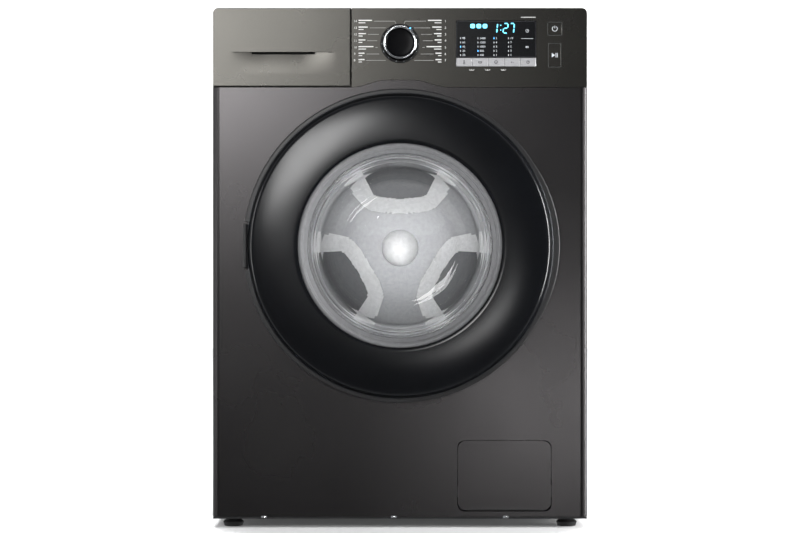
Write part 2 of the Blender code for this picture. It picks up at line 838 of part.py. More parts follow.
def door_frame():
    outer, inner, front = DOOR_RADIUS, WINDOW_RADIUS + GAP, FRONT - DOOR_PROUD
    face = [
        (inner, front + 0.0060), (0.1700, front + 0.0026), (0.1800, front + 0.0007), (0.1920, front),
        (0.2040, front + 0.0008), (0.2150, front + 0.0030), (0.2250, front + 0.0062),
        (0.2330, front + 0.0103), (0.2385, front + 0.0140), (outer, front + 0.0180),
    ]
    skin = [(outer - 0.003, front + 0.0205), (0.2230, front + 0.0090), (0.1930, front + 0.0030)]
    rim = [(outer, FRAME_BACK), (outer - 0.003, FRAME_BACK)]
    collar = [(inner + 0.003, front + 0.0070), (inner + 0.003, FRAME_BACK), (inner, FRAME_BACK)]
    return ring("door_frame", face + rim + skin + collar, look=BLACK_GLOSS)


def door_trim_ring():
    front, back = FRONT - DOOR_PROUD + 0.006, FLANGE_FRONT - GAP
    inner = WINDOW_RADIUS - TRIM_WIDTH
    return ring(
        "door_trim_ring",
        [
            (inner + 0.003, front + 0.0030), (inner + 0.006, front), (WINDOW_RADIUS - 0.002, front),
            (WINDOW_RADIUS, front + 0.0020), (WINDOW_RADIUS, back), (inner, back),
        ],
        look=CHROME,
    )


def door_glass():
    """The bowl: a flange held behind the frame, and a wall that curves in to a nearly flat end."""
    neck, deep = WINDOW_RADIUS - 0.0115, FRONT + BOWL_DEPTH
    start = FRONT - 0.004
    steps = 6
    outer = []
    for i in range(steps + 1):
        turn = math.pi / 2 * i / steps
        across = BOWL_TIP + (neck - BOWL_TIP) * math.cos(turn) ** 0.9
        outer.append((across, start + (deep - 0.003 - start) * math.sin(turn)))
    inner = [(r - GLASS_WALL, y - GLASS_WALL / 2) for r, y in outer][::-1]
    flange = WINDOW_RADIUS - 0.0025
    profile = [(0.0, deep - GLASS_WALL), *inner, (neck - GLASS_WALL, FLANGE_FRONT)]
    profile += [(flange, FLANGE_FRONT), (flange, FRAME_BACK), (neck, FRAME_BACK)]
    profile += [*outer, (0.0, deep)]
    return ring("door_glass", profile, closed=False, look=GLASS)


def door_back_ring():
    bore = WINDOW_RADIUS - 0.0090
    back = ring(
        "door_back_ring",
        [
            (bore, DOOR_MIDDLE), (BACK_RING_RADIUS - 0.002, DOOR_MIDDLE),
            (BACK_RING_RADIUS, DOOR_MIDDLE + 0.002), (BACK_RING_RADIUS, DOOR_BACK), (bore, DOOR_BACK),
        ],
    )
    middle = (DOOR_MIDDLE + DOOR_BACK) / 2
    reach = BACK_RING_RADIUS + GRIP_REACH - GRIP_CURVE
    grip = cylinder(
        "grip_cutter", (reach, middle, DOOR_HEIGHT), GRIP_CURVE, BACK_RING_THICK - 0.002,
        "y", CUTTERS, SEGMENTS,
    )
    clear = cylinder(
        "grip_bore_cutter", (0, middle, DOOR_HEIGHT), bore + 0.01, 0.04, "y", CUTTERS, SEGMENTS
    )
    cut(grip, clear)
    notch = box(
        "hinge_notch_cutter",
        (-WIDTH / 2, FRONT - 0.03, DOOR_HEIGHT - NOTCH_HALF),
        (NOTCH_X, FRONT + 0.01, DOOR_HEIGHT + NOTCH_HALF),
        CUTTERS,
    )
    pocket = box(
        "hook_pocket_cutter",
        (HOOK_X - 0.010, FRONT - 0.03, DOOR_HEIGHT - HOOK_HALF),
        (HOOK_X + 0.012, FRONT + 0.01, DOOR_HEIGHT + HOOK_HALF),
        CUTTERS,
    )
    join(back, grip)
    cut(back, notch, pocket)
    return dress(back, BLACK_PLASTIC)


def door_hinge_arm():
    arm = cylinder(
        "door_hinge_arm", (HINGE_X, HINGE_Y, DOOR_HEIGHT), KNUCKLE_RADIUS, 2 * KNUCKLE_HALF, "z",
        None, 24,
    )
    tab = box(
        "hinge_tab_cutter",
        (HINGE_X, DOOR_MIDDLE + 0.0005, DOOR_HEIGHT - 0.018),
        (NOTCH_X - GAP, DOOR_MIDDLE + 0.0035, DOOR_HEIGHT + 0.018),
        CUTTERS,
    )
    bore = cylinder(
        "hinge_bore_cutter", (HINGE_X, HINGE_Y, DOOR_HEIGHT), PIN_RADIUS + GAP, 0.1, "z", CUTTERS, 16
    )
    join(arm, tab)
    cut(arm, bore)
    return dress(arm, BLACK_PLASTIC)


def hinge_bracket():
    """Plate on the front panel with two lugs and the pin that the door's knuckle turns on."""
    bracket = box(
        "hinge_bracket",
        (HINGE_X - 0.0035, FRONT - 0.0015, DOOR_HEIGHT - LUG_FAR - 0.002),
        (NOTCH_X - GAP, FRONT - GAP, DOOR_HEIGHT + LUG_FAR + 0.002),
    )
    for name, sign in (("upper", 1), ("lower", -1)):
        low, high = sorted((DOOR_HEIGHT + sign * LUG_NEAR, DOOR_HEIGHT + sign * LUG_FAR))
        lug = cylinder(
            f"{name}_lug_cutter", (HINGE_X, HINGE_Y, (low + high) / 2), KNUCKLE_RADIUS, high - low,
            "z", CUTTERS, 24,
        )
        web = box(
            f"{name}_web_cutter",
            (HINGE_X - 0.0030, HINGE_Y, low), (HINGE_X + 0.0030, FRONT - 0.0010, high), CUTTERS,
        )
        join(bracket, lug, web)
    pin = cylinder(
        "hinge_pin_cutter", (HINGE_X, HINGE_Y, DOOR_HEIGHT), PIN_RADIUS, 2 * LUG_NEAR + 0.01, "z",
        CUTTERS, 16,
    )
    join(bracket, pin)
    return dress(bracket, BLACK_PLASTIC)


HOOK_Y = FRONT - 0.007
HOOK_TIP = FRONT + 0.020
HOOK_HALF = 0.012       # half height of the pocket that holds the hook


def door_hook():
    length = 2 * (HOOK_HALF - GAP)
    hook = cylinder("door_hook", (HOOK_X, HOOK_Y, DOOR_HEIGHT), 0.0030, length, "z", None, 16)
    arm = box(
        "hook_arm_cutter",
        (HOOK_X - 0.002, HOOK_Y, DOOR_HEIGHT - 0.006), (HOOK_X + 0.002, HOOK_TIP, DOOR_HEIGHT + 0.006),
        CUTTERS,
    )
    tip = box(
        "hook_tip_cutter",
        (HOOK_X - 0.002, HOOK_TIP - 0.004, DOOR_HEIGHT - 0.006),
        (HOOK_X + 0.007, HOOK_TIP, DOOR_HEIGHT + 0.006),
        CUTTERS,
    )
    join(hook, arm, tip)
    return dress(hook, STAINLESS)


def door_lock():
    back = FRONT + SHEET + GAP
    lock = box(
        "door_lock",
        (HOOK_X - 0.014, back, DOOR_HEIGHT - 0.030), (HOOK_X + 0.044, back + 0.034, DOOR_HEIGHT + 0.030),
    )
    throat = box(
        "lock_throat_cutter",
        (HOOK_X - 0.010, back - 0.01, DOOR_HEIGHT - 0.0095),
        (HOOK_X + 0.016, back + 0.026, DOOR_HEIGHT + 0.0095),
        CUTTERS,
    )
    cut(lock, throat)
    return dress(lock, BLACK_PLASTIC)


def door():
    pieces = (door_frame(), door_trim_ring(), door_glass(), door_back_ring(), door_hinge_arm())
    hook = door_hook()
    pivot("hook_axis", (HOOK_X, HOOK_Y, DOOR_HEIGHT), hook)
    pivot("door_hinge_axis", (HINGE_X, HINGE_Y, DOOR_HEIGHT), *pieces)
    hinge_bracket()
    door_lock()


MOUTH_RADIUS = 0.182


def door_gasket():
    edge, back = PORTHOLE_RADIUS - GAP, TUB_FRONT - GAP
    outer = [
        (edge - 0.0030, FRONT - 0.0012), (edge, FRONT), (edge, FRONT + 0.007),
        (edge + 0.009, FRONT + 0.014), (edge + 0.017, FRONT + 0.026), (edge + 0.009, FRONT + 0.040),
        (edge + 0.017, FRONT + 0.054), (MOUTH_RADIUS + 0.009, back),
    ]
    inner = [
        (MOUTH_RADIUS + 0.002, back), (edge + 0.012, FRONT + 0.054), (edge + 0.003, FRONT + 0.040),
        (edge + 0.011, FRONT + 0.027), (edge + 0.003, FRONT + 0.016), (edge - 0.007, FRONT + 0.011),
        (edge - 0.0130, FRONT + 0.003), (edge - 0.0120, FRONT),
    ]
    return ring("door_gasket", outer + inner, look=RUBBER_GREY)


# ---------------------------------------------------------------- tub and what it carries

LIP = 0.006             # flange where the two halves of the tub meet
SPIGOT_X, SPIGOT_Y = 0.120, -0.105
SPIGOT_RADIUS = 0.015
SPIGOT_LOW = 0.1853


def under_tub(x, radius):
    """Height of the lower side of a cylinder about the tub's axis."""
    return DOOR_HEIGHT - math.sqrt(radius ** 2 - x ** 2)


def tub_front():
    radius, wall, seam = TUB_RADIUS, TUB_WALL, TUB_SPLIT - GAP / 2
    tub = ring(
        "tub_front",
        [
            (MOUTH_RADIUS, TUB_FRONT), (radius - 0.012, TUB_FRONT), (radius, TUB_FRONT + 0.012),
            (radius, seam - 0.008), (radius + LIP, seam - 0.008), (radius + LIP, seam),
            (radius - wall, seam), (radius - wall, TUB_FRONT + 0.013),
            (radius - 0.013, TUB_FRONT + wall), (MOUTH_RADIUS, TUB_FRONT + wall),
        ],
        segments=INNER_SEGMENTS,
    )
    high = under_tub(SPIGOT_X - SPIGOT_RADIUS, DRUM_RADIUS + 0.004)
    spigot = cylinder(
        "spigot_cutter", (SPIGOT_X, SPIGOT_Y, (SPIGOT_LOW + high) / 2), SPIGOT_RADIUS,
        high - SPIGOT_LOW, "z", CUTTERS, 24,
    )
    bore = cylinder(
        "spigot_bore_cutter", (SPIGOT_X, SPIGOT_Y, SPIGOT_LOW), SPIGOT_RADIUS - 0.003, 0.1, "z",
        CUTTERS, 24,
    )
    join(tub, spigot)
    cut(tub, bore)
    return dress(tub, GREY_PLASTIC)


HUB_BACK = TUB_BACK + 0.022
HUB_FRONT = TUB_BACK - 0.012


def tub_rear():
    radius, wall, seam = TUB_RADIUS, TUB_WALL, TUB_SPLIT + GAP / 2
    bore = BEARING_RADIUS + GAP
    tub = ring(
        "tub_rear",
        [
            (radius - wall, seam), (radius + LIP, seam), (radius + LIP, seam + 0.008),
            (radius, seam + 0.008), (radius, TUB_BACK - 0.012), (radius - 0.012, TUB_BACK),
            (0.062, TUB_BACK), (0.046, HUB_BACK), (bore, HUB_BACK), (bore, HUB_FRONT),
            (0.050, HUB_FRONT), (0.056, TUB_BACK - wall), (radius - 0.013, TUB_BACK - wall),
            (radius - wall, TUB_BACK - 0.013),
        ],
        segments=INNER_SEGMENTS,
    )
    for name, sign in (("left", -1), ("right", 1)):
        ear = box(
            f"spring_ear_{name}_cutter",
            (sign * SPRING_X - 0.008, SPRING_Y - 0.006, DOOR_HEIGHT + 0.165),
            (sign * SPRING_X + 0.008, SPRING_Y + 0.006, SPRING_LOW - GAP),
            CUTTERS,
        )
        join(tub, ear)
    return dress(tub, GREY_PLASTIC)


def bearing(name, front):
    return ring(
        name,
        [
            (SHAFT_RADIUS + GAP, front), (BEARING_RADIUS, front),
            (BEARING_RADIUS, front + BEARING_WIDTH), (SHAFT_RADIUS + GAP, front + BEARING_WIDTH),
        ],
        segments=32, look=STAINLESS,
    )


def tub_body(name, grow=GAP):
    """A cutter with the tub's outer surface, for what is seated on it."""
    return cylinder(
        name, (0, (TUB_FRONT + TUB_BACK) / 2, DOOR_HEIGHT), TUB_RADIUS + grow,
        TUB_BACK - TUB_FRONT + 0.05, "y", CUTTERS, INNER_SEGMENTS,
    )


def counterweight():
    block = box(
        "counterweight_top",
        (-0.075, TUB_FRONT + 0.030, DOOR_HEIGHT + 0.212), (0.178, TUB_SPLIT - 0.012, 0.775),
    )
    rounded(block, 0.008, 2, along(1))
    cut(block, tub_body("weight_seat_cutter"))
    return dress(block, CONCRETE)


MOTOR_FRONT, MOTOR_BACK = 0.030, TUB_BACK + 0.004


def motor_housing():
    middle = (MOTOR_FRONT + MOTOR_BACK) / 2
    motor = cylinder(
        "motor_housing", (MOTOR_X, middle, MOTOR_HEIGHT), MOTOR_RADIUS, MOTOR_BACK - MOTOR_FRONT,
        "y", None, 40,
    )
    for name, left in (("left", MOTOR_X - 0.052), ("right", MOTOR_X + 0.034)):
        ear = box(
            f"motor_ear_{name}_cutter",
            (left, MOTOR_FRONT + 0.03, MOTOR_HEIGHT + 0.02),
            (left + 0.018, MOTOR_BACK - 0.03, DOOR_HEIGHT - TUB_RADIUS + 0.02),
            CUTTERS,
        )
        join(motor, ear)
    bore = cylinder(
        "motor_bore_cutter", (MOTOR_X, MOTOR_BACK, MOTOR_HEIGHT), 0.006 + GAP, 0.10, "y", CUTTERS, 24
    )
    cut(motor, tub_body("motor_seat_cutter"), bore)
    return dress(motor, CAST)


def motor_pulley():
    half = BELT_WIDTH / 2 + 0.002
    shaft = ring(
        "motor_pulley",
        [
            (0.0, MOTOR_BACK - 0.045), (0.006, MOTOR_BACK - 0.045), (0.006, BELT_Y - half),
            (MOTOR_PULLEY_RADIUS + 0.002, BELT_Y - half),
            (MOTOR_PULLEY_RADIUS + 0.002, BELT_Y - half + 0.0015),
            (MOTOR_PULLEY_RADIUS, BELT_Y - half + 0.0017), (MOTOR_PULLEY_RADIUS, BELT_Y + half),
            (0.0, BELT_Y + half),
        ],
        MOTOR_X, MOTOR_HEIGHT, False, 20, STAINLESS,
    )
    pivot("motor_axis", (MOTOR_X, BELT_Y, MOTOR_HEIGHT), shaft)


def belt_loop(grow):
    """Outline round both pulleys, a distance outside their rims."""
    centres = Vector((0, DOOR_HEIGHT)), Vector((MOTOR_X, MOTOR_HEIGHT))
    big, small = PULLEY_RADIUS + grow, MOTOR_PULLEY_RADIUS + grow
    step = centres[1] - centres[0]
    heading = math.degrees(math.atan2(step.y, step.x))
    wrap = math.degrees(math.acos((big - small) / step.length))
    points = list(arc(centres[0], big, heading + wrap, heading + 360 - wrap, 40))
    points += arc(centres[1], small, heading - wrap, heading + wrap, 10)
    return points


def drive_belt():
    loops = [belt_loop(GAP + BELT_THICK), belt_loop(GAP)]
    belt = plate("drive_belt", loops, BELT_Y - BELT_WIDTH / 2, BELT_Y + BELT_WIDTH / 2, "y")
    return dress(belt, RUBBER_BLACK)


# ---------------------------------------------------------------- drum

def drum_shell():
    radius, wall = DRUM_RADIUS, DRUM_WALL
    return ring(
        "drum_shell",
        [
            (0.0, DRUM_BACK - wall), (radius - wall, DRUM_BACK - wall),
            (radius - wall, DRUM_FRONT + 0.013), (radius - 0.013, DRUM_FRONT + wall),
            (DRUM_MOUTH + 0.0025, DRUM_FRONT + wall), (DRUM_MOUTH + 0.0025, DRUM_FRONT + 0.006),
            (DRUM_MOUTH, DRUM_FRONT + 0.006), (DRUM_MOUTH, DRUM_FRONT), (radius - 0.012, DRUM_FRONT),
            (radius, DRUM_FRONT + 0.012), (radius, DRUM_BACK), (0.0, DRUM_BACK),
        ],
        closed=False, look=STAINLESS,
    )


SPOKES = (270, 30, 150)


def turned_about_axis(points, degrees):
    """Points of an outline that points down, turned about the drum's axis to another angle."""
    turn = math.radians(degrees - 270)
    for x, z in points:
        yield (
            x * math.cos(turn) - z * math.sin(turn),
            DOOR_HEIGHT + x * math.sin(turn) + z * math.cos(turn),
        )


def drum_spider():
    """Three arms behind the drum, with the shaft that runs in the bearings."""
    front, thick = DRUM_BACK + GAP, 0.010
    spider = cylinder(
        "drum_spider", (0, front + thick / 2 + 0.001, DOOR_HEIGHT), 0.040, thick + 0.002, "y", None, 32
    )
    end = BELT_Y + 0.014
    shaft = cylinder(
        "shaft_cutter", (0, (front + 0.004 + end) / 2, DOOR_HEIGHT), SHAFT_RADIUS, end - front - 0.004,
        "y", CUTTERS, 32,
    )
    join(spider, shaft)
    for angle in SPOKES:
        arm = [(-0.020, 0.0), (-0.013, -DRUM_RADIUS + 0.006), (0.013, -DRUM_RADIUS + 0.006), (0.020, 0.0)]
        join(spider, plate(
            f"arm_{angle}_cutter", [list(turned_about_axis(arm, angle))],
            front + 0.0001, front + thick, "y", CUTTERS,
        ))
    return dress(spider, CAST)


def drum_lifter(number, angle):
    seat = DRUM_RADIUS - DRUM_WALL - GAP - 0.0005
    foot = [(seat * math.sin(turn), -seat * math.cos(turn)) for turn in (-0.15, -0.075, 0, 0.075, 0.15)]
    crown = [(0.026, -0.212), (0.014, -0.186), (0.0, -0.181), (-0.014, -0.186), (-0.026, -0.212)]
    lifter = plate(
        f"drum_lifter_{number}", [list(turned_about_axis(foot + crown, angle))],
        DRUM_FRONT + 0.022, DRUM_BACK - 0.012, "y",
    )
    return dress(lifter, GREY_PLASTIC)


PULLEY_HOLES = 5


def drum_pulley():
    half, rim = BELT_WIDTH / 2 + 0.002, PULLEY_RADIUS - 0.004
    pulley = ring(
        "drum_pulley",
        [
            (rim, BELT_Y - half), (PULLEY_RADIUS, BELT_Y - half), (PULLEY_RADIUS, BELT_Y + half),
            (rim, BELT_Y + half), (rim, BELT_Y + 0.003), (0.034, BELT_Y + 0.003),
            (0.026, BELT_Y + 0.010), (SHAFT_RADIUS + GAP, BELT_Y + 0.010),
            (SHAFT_RADIUS + GAP, BELT_Y - 0.009), (0.026, BELT_Y - 0.009), (0.034, BELT_Y - 0.003),
            (rim, BELT_Y - 0.003),
        ],
        segments=INNER_SEGMENTS,
    )
    for number in range(PULLEY_HOLES):
        turn = 2 * math.pi * number / PULLEY_HOLES
        hole = cylinder(
            f"pulley_hole_{number}_cutter",
            (0.090 * math.cos(turn), BELT_Y, DOOR_HEIGHT + 0.090 * math.sin(turn)), 0.032, 0.03, "y",
            CUTTERS, 12,
        )
        cut(pulley, hole)
    return dress(pulley, CAST)


def drum():
    pieces = [drum_shell(), drum_spider(), drum_pulley()]
    pieces += [drum_lifter(number + 1, angle) for number, angle in enumerate(SPOKES)]
    pivot("drum_axis", (0, TUB_BACK, DOOR_HEIGHT), *pieces)


# ---------------------------------------------------------------- suspension

SPRING_TOP = WALL_TOP - 0.018 - GAP
SPRING_LOW = 0.665
BASE_TOP = FOOT_LIFT + BASE_WALL


def spring(name, x):
    """A coil between the rail and the tub's ear, with a straight tail at each end."""
    coil_low, coil_high = SPRING_LOW + 0.014, SPRING_TOP - 0.014
    per_turn = 8
    points = [(x, SPRING_Y, SPRING_LOW), (x, SPRING_Y, coil_low - 0.004)]
    count = SPRING_TURNS * per_turn
    for i in range(count + 1):
        turn = 2 * math.pi * i / per_turn
        points.append((
            x + SPRING_RADIUS * math.cos(turn),
            SPRING_Y + SPRING_RADIUS * math.sin(turn),
            coil_low + (coil_high - coil_low) * i / count,
        ))
    points += [(x, SPRING_Y, coil_high + 0.004), (x, SPRING_Y, SPRING_TOP)]
    return dress(tube(name, points, WIRE_RADIUS, 1), STAINLESS)


def damper(side, x):
    base, mouth = BASE_TOP + GAP, 0.150
    bore = DAMPER_BORE
    barrel = turned(
        f"damper_cylinder_{side}", (x, TUB_SPLIT, 0),
        [
            (0.0, base + 0.004), (bore, base + 0.004), (bore, mouth - 0.005),
            (ROD_RADIUS + GAP, mouth - 0.005), (ROD_RADIUS + GAP, mouth), (DAMPER_RADIUS, mouth),
            (DAMPER_RADIUS, base), (0.0, base),
        ],
        "z", None, 24, False,
    )
    top = under_tub(abs(x) - ROD_RADIUS, TUB_RADIUS + LIP) - GAP
    rod = turned(
        f"damper_rod_{side}", (x, TUB_SPLIT, 0),
        [
            (0.0, top), (ROD_RADIUS, top), (ROD_RADIUS, 0.072), (bore - GAP, 0.072),
            (bore - GAP, 0.056), (0.0, 0.056),
        ],
        "z", None, 24, False,
    )
    dress(barrel, BLACK_PLASTIC)
    dress(rod, STAINLESS)


def tub():
    tub_front()
    tub_rear()
    bearing("bearing_front", HUB_FRONT + 0.001)
    bearing("bearing_rear", HUB_BACK - BEARING_WIDTH - 0.001)
    counterweight()
    motor_housing()
    drive_belt()
    for side, sign in (("left", -1), ("right", 1)):
        spring(f"tub_spring_{side}", sign * SPRING_X)
        damper(side, sign * DAMPER_X)


# ---------------------------------------------------------------- drain pump, flap and hoses

FILTER_X = FLAP_LEFT + FLAP_WIDTH / 2
PUMP_FRONT, PUMP_BACK = FRONT + 0.045, FRONT + 0.150
PORT_TOP = 0.105


def drain_pump():
    pump = cylinder(
        "drain_pump", (FILTER_X, (PUMP_FRONT + PUMP_BACK) / 2, FILTER_HEIGHT), FILTER_RADIUS + 0.005,
        PUMP_BACK - PUMP_FRONT, "y", None, 40,
    )
    leg = box(
        "pump_leg_cutter",
        (FILTER_X - 0.022, PUMP_FRONT + 0.01, BASE_TOP + GAP),
        (FILTER_X + 0.022, PUMP_BACK - 0.01, FILTER_HEIGHT),
        CUTTERS,
    )
    port = box(
        "pump_port_cutter",
        (SPIGOT_X - 0.018, SPIGOT_Y - 0.015, FILTER_HEIGHT - 0.018),
        (FILTER_X, SPIGOT_Y + 0.015, PORT_TOP),
        CUTTERS,
    )
    throat = cylinder(
        "pump_throat_cutter", (FILTER_X, PUMP_FRONT, FILTER_HEIGHT), FILTER_RADIUS + GAP, 0.05, "y",
        CUTTERS, 40,
    )
    join(pump, leg, port)
    cut(pump, throat)
    return dress(pump, WHITE_PLASTIC)


def filter_cap():
    """The screw cap of the pump, with a bar to turn it by."""
    front, back = FRONT + 0.026, PUMP_FRONT + 0.022
    cap = cylinder(
        "filter_cap", (FILTER_X, (front + 0.012 + back) / 2, FILTER_HEIGHT), FILTER_RADIUS,
        back - front - 0.012, "y", None, 40,
    )
    bar = box(
        "filter_bar_cutter",
        (FILTER_X - 0.022, front, FILTER_HEIGHT - 0.005),
        (FILTER_X + 0.022, front + 0.014, FILTER_HEIGHT + 0.005),
        CUTTERS,
    )
    join(cap, bar)
    dress(cap, BLACK_PLASTIC)
    pivot("filter_axis", (FILTER_X, front, FILTER_HEIGHT), cap)


def filter_flap():
    front, hinge = FRONT + 0.0002, FLAP_BOTTOM + FLAP_THICK / 2
    flap = plate("filter_flap", [flap_outline(0.0, hinge)], front, front + FLAP_THICK, "y")
    axis = (FILTER_X, front + FLAP_THICK / 2, hinge)
    barrel = cylinder(
        "flap_barrel_cutter", axis, FLAP_THICK / 2, FLAP_WIDTH - 2 * FLAP_CORNER, "x", CUTTERS, 16
    )
    join(flap, barrel)
    dress(flap, GRAPHITE)
    pivot("flap_axis", axis, flap)


def sump_bellows():
    """The pleated hose between the tub's spigot and the pump."""
    low, high, pleats = PORT_TOP + GAP, SPIGOT_LOW - GAP, 5
    profile = []
    for i in range(2 * pleats + 1):
        radius = SPIGOT_RADIUS + (0.004 if i % 2 else 0.0005)
        profile.append((radius, high + (low - high) * i / (2 * pleats)))
    profile += [(SPIGOT_RADIUS - 0.003, low), (SPIGOT_RADIUS - 0.003, high)]
    hose = turned("sump_bellows", (SPIGOT_X, SPIGOT_Y, 0), profile, "z", None, 24)
    return dress(hose, RUBBER_BLACK)


def smooth_route(corners, steps):
    """Points of a smooth curve through corners, with a number of steps between each two."""
    ends = [corners[0], *corners, corners[-1]]
    for a, b, c, d in zip(ends, ends[1:], ends[2:], ends[3:]):
        a, b, c, d = map(Vector, (a, b, c, d))
        for i in range(steps):
            t = i / steps
            yield 0.5 * (
                2 * b + (c - a) * t + (2 * a - 5 * b + 4 * c - d) * t ** 2
                + (3 * b - a - 3 * c + d) * t ** 3
            )
    yield Vector(corners[-1])


OUTLET_REACH = 0.030    # drain outlet inside the rear wall


def drain_hose():
    """From the pump along the base and up the rear right corner to the outlet."""
    rear, side = BACK - 0.038, DRAIN_X
    start = (FILTER_X, PUMP_BACK + GAP, FILTER_HEIGHT)
    end = (side, BACK - OUTLET_REACH - GAP, DRAIN_HEIGHT)
    corners = [
        (FILTER_X, PUMP_BACK + 0.008, FILTER_HEIGHT), (FILTER_X + 0.045, -0.030, 0.062),
        (side - 0.018, 0.020, 0.055), (side, 0.090, 0.055), (side, 0.170, 0.058),
        (side, rear - 0.018, 0.085), (side, rear - 0.006, 0.150), (side, rear - 0.006, 0.330),
        (side, rear - 0.006, 0.520), (side, rear - 0.006, DRAIN_HEIGHT - 0.030),
        (side, BACK - OUTLET_REACH - 0.004, DRAIN_HEIGHT),
    ]
    hose = tube("drain_hose", [start, *smooth_route(corners, 2), end], 0.009, 1)
    return dress(hose, RUBBER_GREY)


# ---------------------------------------------------------------- rear services and feet

def through_wall(name, x, height, radius, out, inside, bore, look):
    """A round fitting through the rear wall, with a flange outside it and a collar inside."""
    flange, lap = radius + 0.004, 0.003
    fitting = ring(
        name,
        [
            (bore, BACK - inside), (radius, BACK - inside), (radius, BACK + GAP),
            (flange, BACK + GAP), (flange, BACK + GAP + lap), (radius, BACK + GAP + lap),
            (radius, BACK + out), (bore, BACK + out),
        ],
        x, height, True, 24, look,
    )
    return fitting


def inlet_valve():
    valve = cylinder(
        "inlet_valve", (INLET_X, BACK + REAR_PROUD - 0.015, INLET_HEIGHT), INLET_RADIUS, 0.030, "y",
        None, 32,
    )
    case = box(
        "valve_case_cutter",
        (INLET_X - 0.020, BACK - 0.062, INLET_HEIGHT - 0.022),
        (INLET_X + 0.020, BACK - SHEET - GAP, INLET_HEIGHT + 0.022),
        CUTTERS,
    )
    bore = cylinder(
        "inlet_bore_cutter", (INLET_X, BACK + REAR_PROUD, INLET_HEIGHT), INLET_RADIUS - 0.0035, 0.04,
        "y", CUTTERS, 24,
    )
    join(valve, case)
    cut(valve, bore)
    return dress(valve, WHITE_PLASTIC)


def feet():
    for name, x, y in foot_places():
        pad = FOOT_RADIUS
        foot = turned(
            name, (x, y, 0),
            [
                (0.0, 0.036), (STUD_RADIUS, 0.036), (STUD_RADIUS, FOOT_LIFT - GAP),
                (0.010, FOOT_LIFT - GAP), (0.010, 0.0095), (pad - 0.003, 0.0095), (pad, 0.0065),
                (pad - 0.002, 0.0), (0.0, 0.0),
            ],
            "z", None, 24, False,
        )
        dress(foot, RUBBER_BLACK)


def build():
    cabinet_wrap()
    base_pan()
    front_panel()
    top_panel()
    rear_cover()
    spring_rail()
    control_panel()
    display_window()
    dial()
    buttons()
    drawer()
    dispenser_housing()
    door()
    door_gasket()
    tub()
    drum()
    motor_pulley()
    drain_pump()
    filter_cap()
    filter_flap()
    sump_bellows()
    drain_hose()
    inlet_valve()
    through_wall(
        "drain_outlet", DRAIN_X, DRAIN_HEIGHT, DRAIN_RADIUS, 0.010, OUTLET_REACH, 0.008, GREY_PLASTIC
    )
    through_wall("cord_gland", CORD_X, CORD_HEIGHT, CORD_RADIUS, 0.006, 0.008, 0.0042, BLACK_PLASTIC)
    feet()


build()
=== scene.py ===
"""Looks of the front load washing machine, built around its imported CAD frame.

Metres, +Z up, front towards -Y. Places come from the frame's own boxes. Pieces that need a finer
surface than the CAD gives replace their node; the other nodes keep their shape and get a material.
"""
import json
import math

import bmesh
import bpy
import numpy as np
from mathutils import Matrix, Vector


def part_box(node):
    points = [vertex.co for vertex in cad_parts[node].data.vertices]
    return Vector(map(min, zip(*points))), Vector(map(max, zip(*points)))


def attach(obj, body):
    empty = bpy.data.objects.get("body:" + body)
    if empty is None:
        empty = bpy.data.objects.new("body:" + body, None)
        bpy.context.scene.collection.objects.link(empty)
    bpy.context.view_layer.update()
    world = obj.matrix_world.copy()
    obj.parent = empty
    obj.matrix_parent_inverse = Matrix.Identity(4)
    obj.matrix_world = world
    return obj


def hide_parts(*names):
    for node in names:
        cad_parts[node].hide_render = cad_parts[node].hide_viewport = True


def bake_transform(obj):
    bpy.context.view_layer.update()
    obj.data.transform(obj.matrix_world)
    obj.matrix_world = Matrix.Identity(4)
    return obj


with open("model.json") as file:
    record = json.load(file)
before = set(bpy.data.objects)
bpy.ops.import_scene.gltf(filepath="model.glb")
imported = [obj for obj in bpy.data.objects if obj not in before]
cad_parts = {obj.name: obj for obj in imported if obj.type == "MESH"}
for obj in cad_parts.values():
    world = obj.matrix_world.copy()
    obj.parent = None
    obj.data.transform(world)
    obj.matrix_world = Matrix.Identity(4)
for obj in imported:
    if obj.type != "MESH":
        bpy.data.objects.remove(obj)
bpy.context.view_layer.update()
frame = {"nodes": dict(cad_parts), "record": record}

# ---------------- places taken from the frame
PANEL_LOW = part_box("front_panel")[0]
FASCIA_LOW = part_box("control_panel")[0]
RIM_LOW, RIM_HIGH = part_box("door_frame")
TRIM_LOW, TRIM_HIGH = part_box("door_trim_ring")
GLASS_LOW, GLASS_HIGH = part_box("door_glass")
BACK_RING_LOW, BACK_RING_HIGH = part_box("door_back_ring")
DRUM_LOW, DRUM_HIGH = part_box("drum_shell")
KNOB_LOW, KNOB_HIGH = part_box("dial_knob")
BRACKET_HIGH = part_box("hinge_bracket")[1]
FRONT = PANEL_LOW.y
DOOR_Z = (RIM_LOW.z + RIM_HIGH.z) / 2
DIAL_Z = (KNOB_LOW.z + KNOB_HIGH.z) / 2
RIM_RADIUS = RIM_HIGH.x
WINDOW_RADIUS = TRIM_HIGH.x
BACK_RING_RADIUS = BACK_RING_HIGH.z - DOOR_Z
DRUM_RADIUS = DRUM_HIGH.x
GAP = 0.0003
PRINT = 0.00008         # how far printing stands off the surface it is on
FINE = 176              # segments round the door's turned pieces

# ---------------- materials


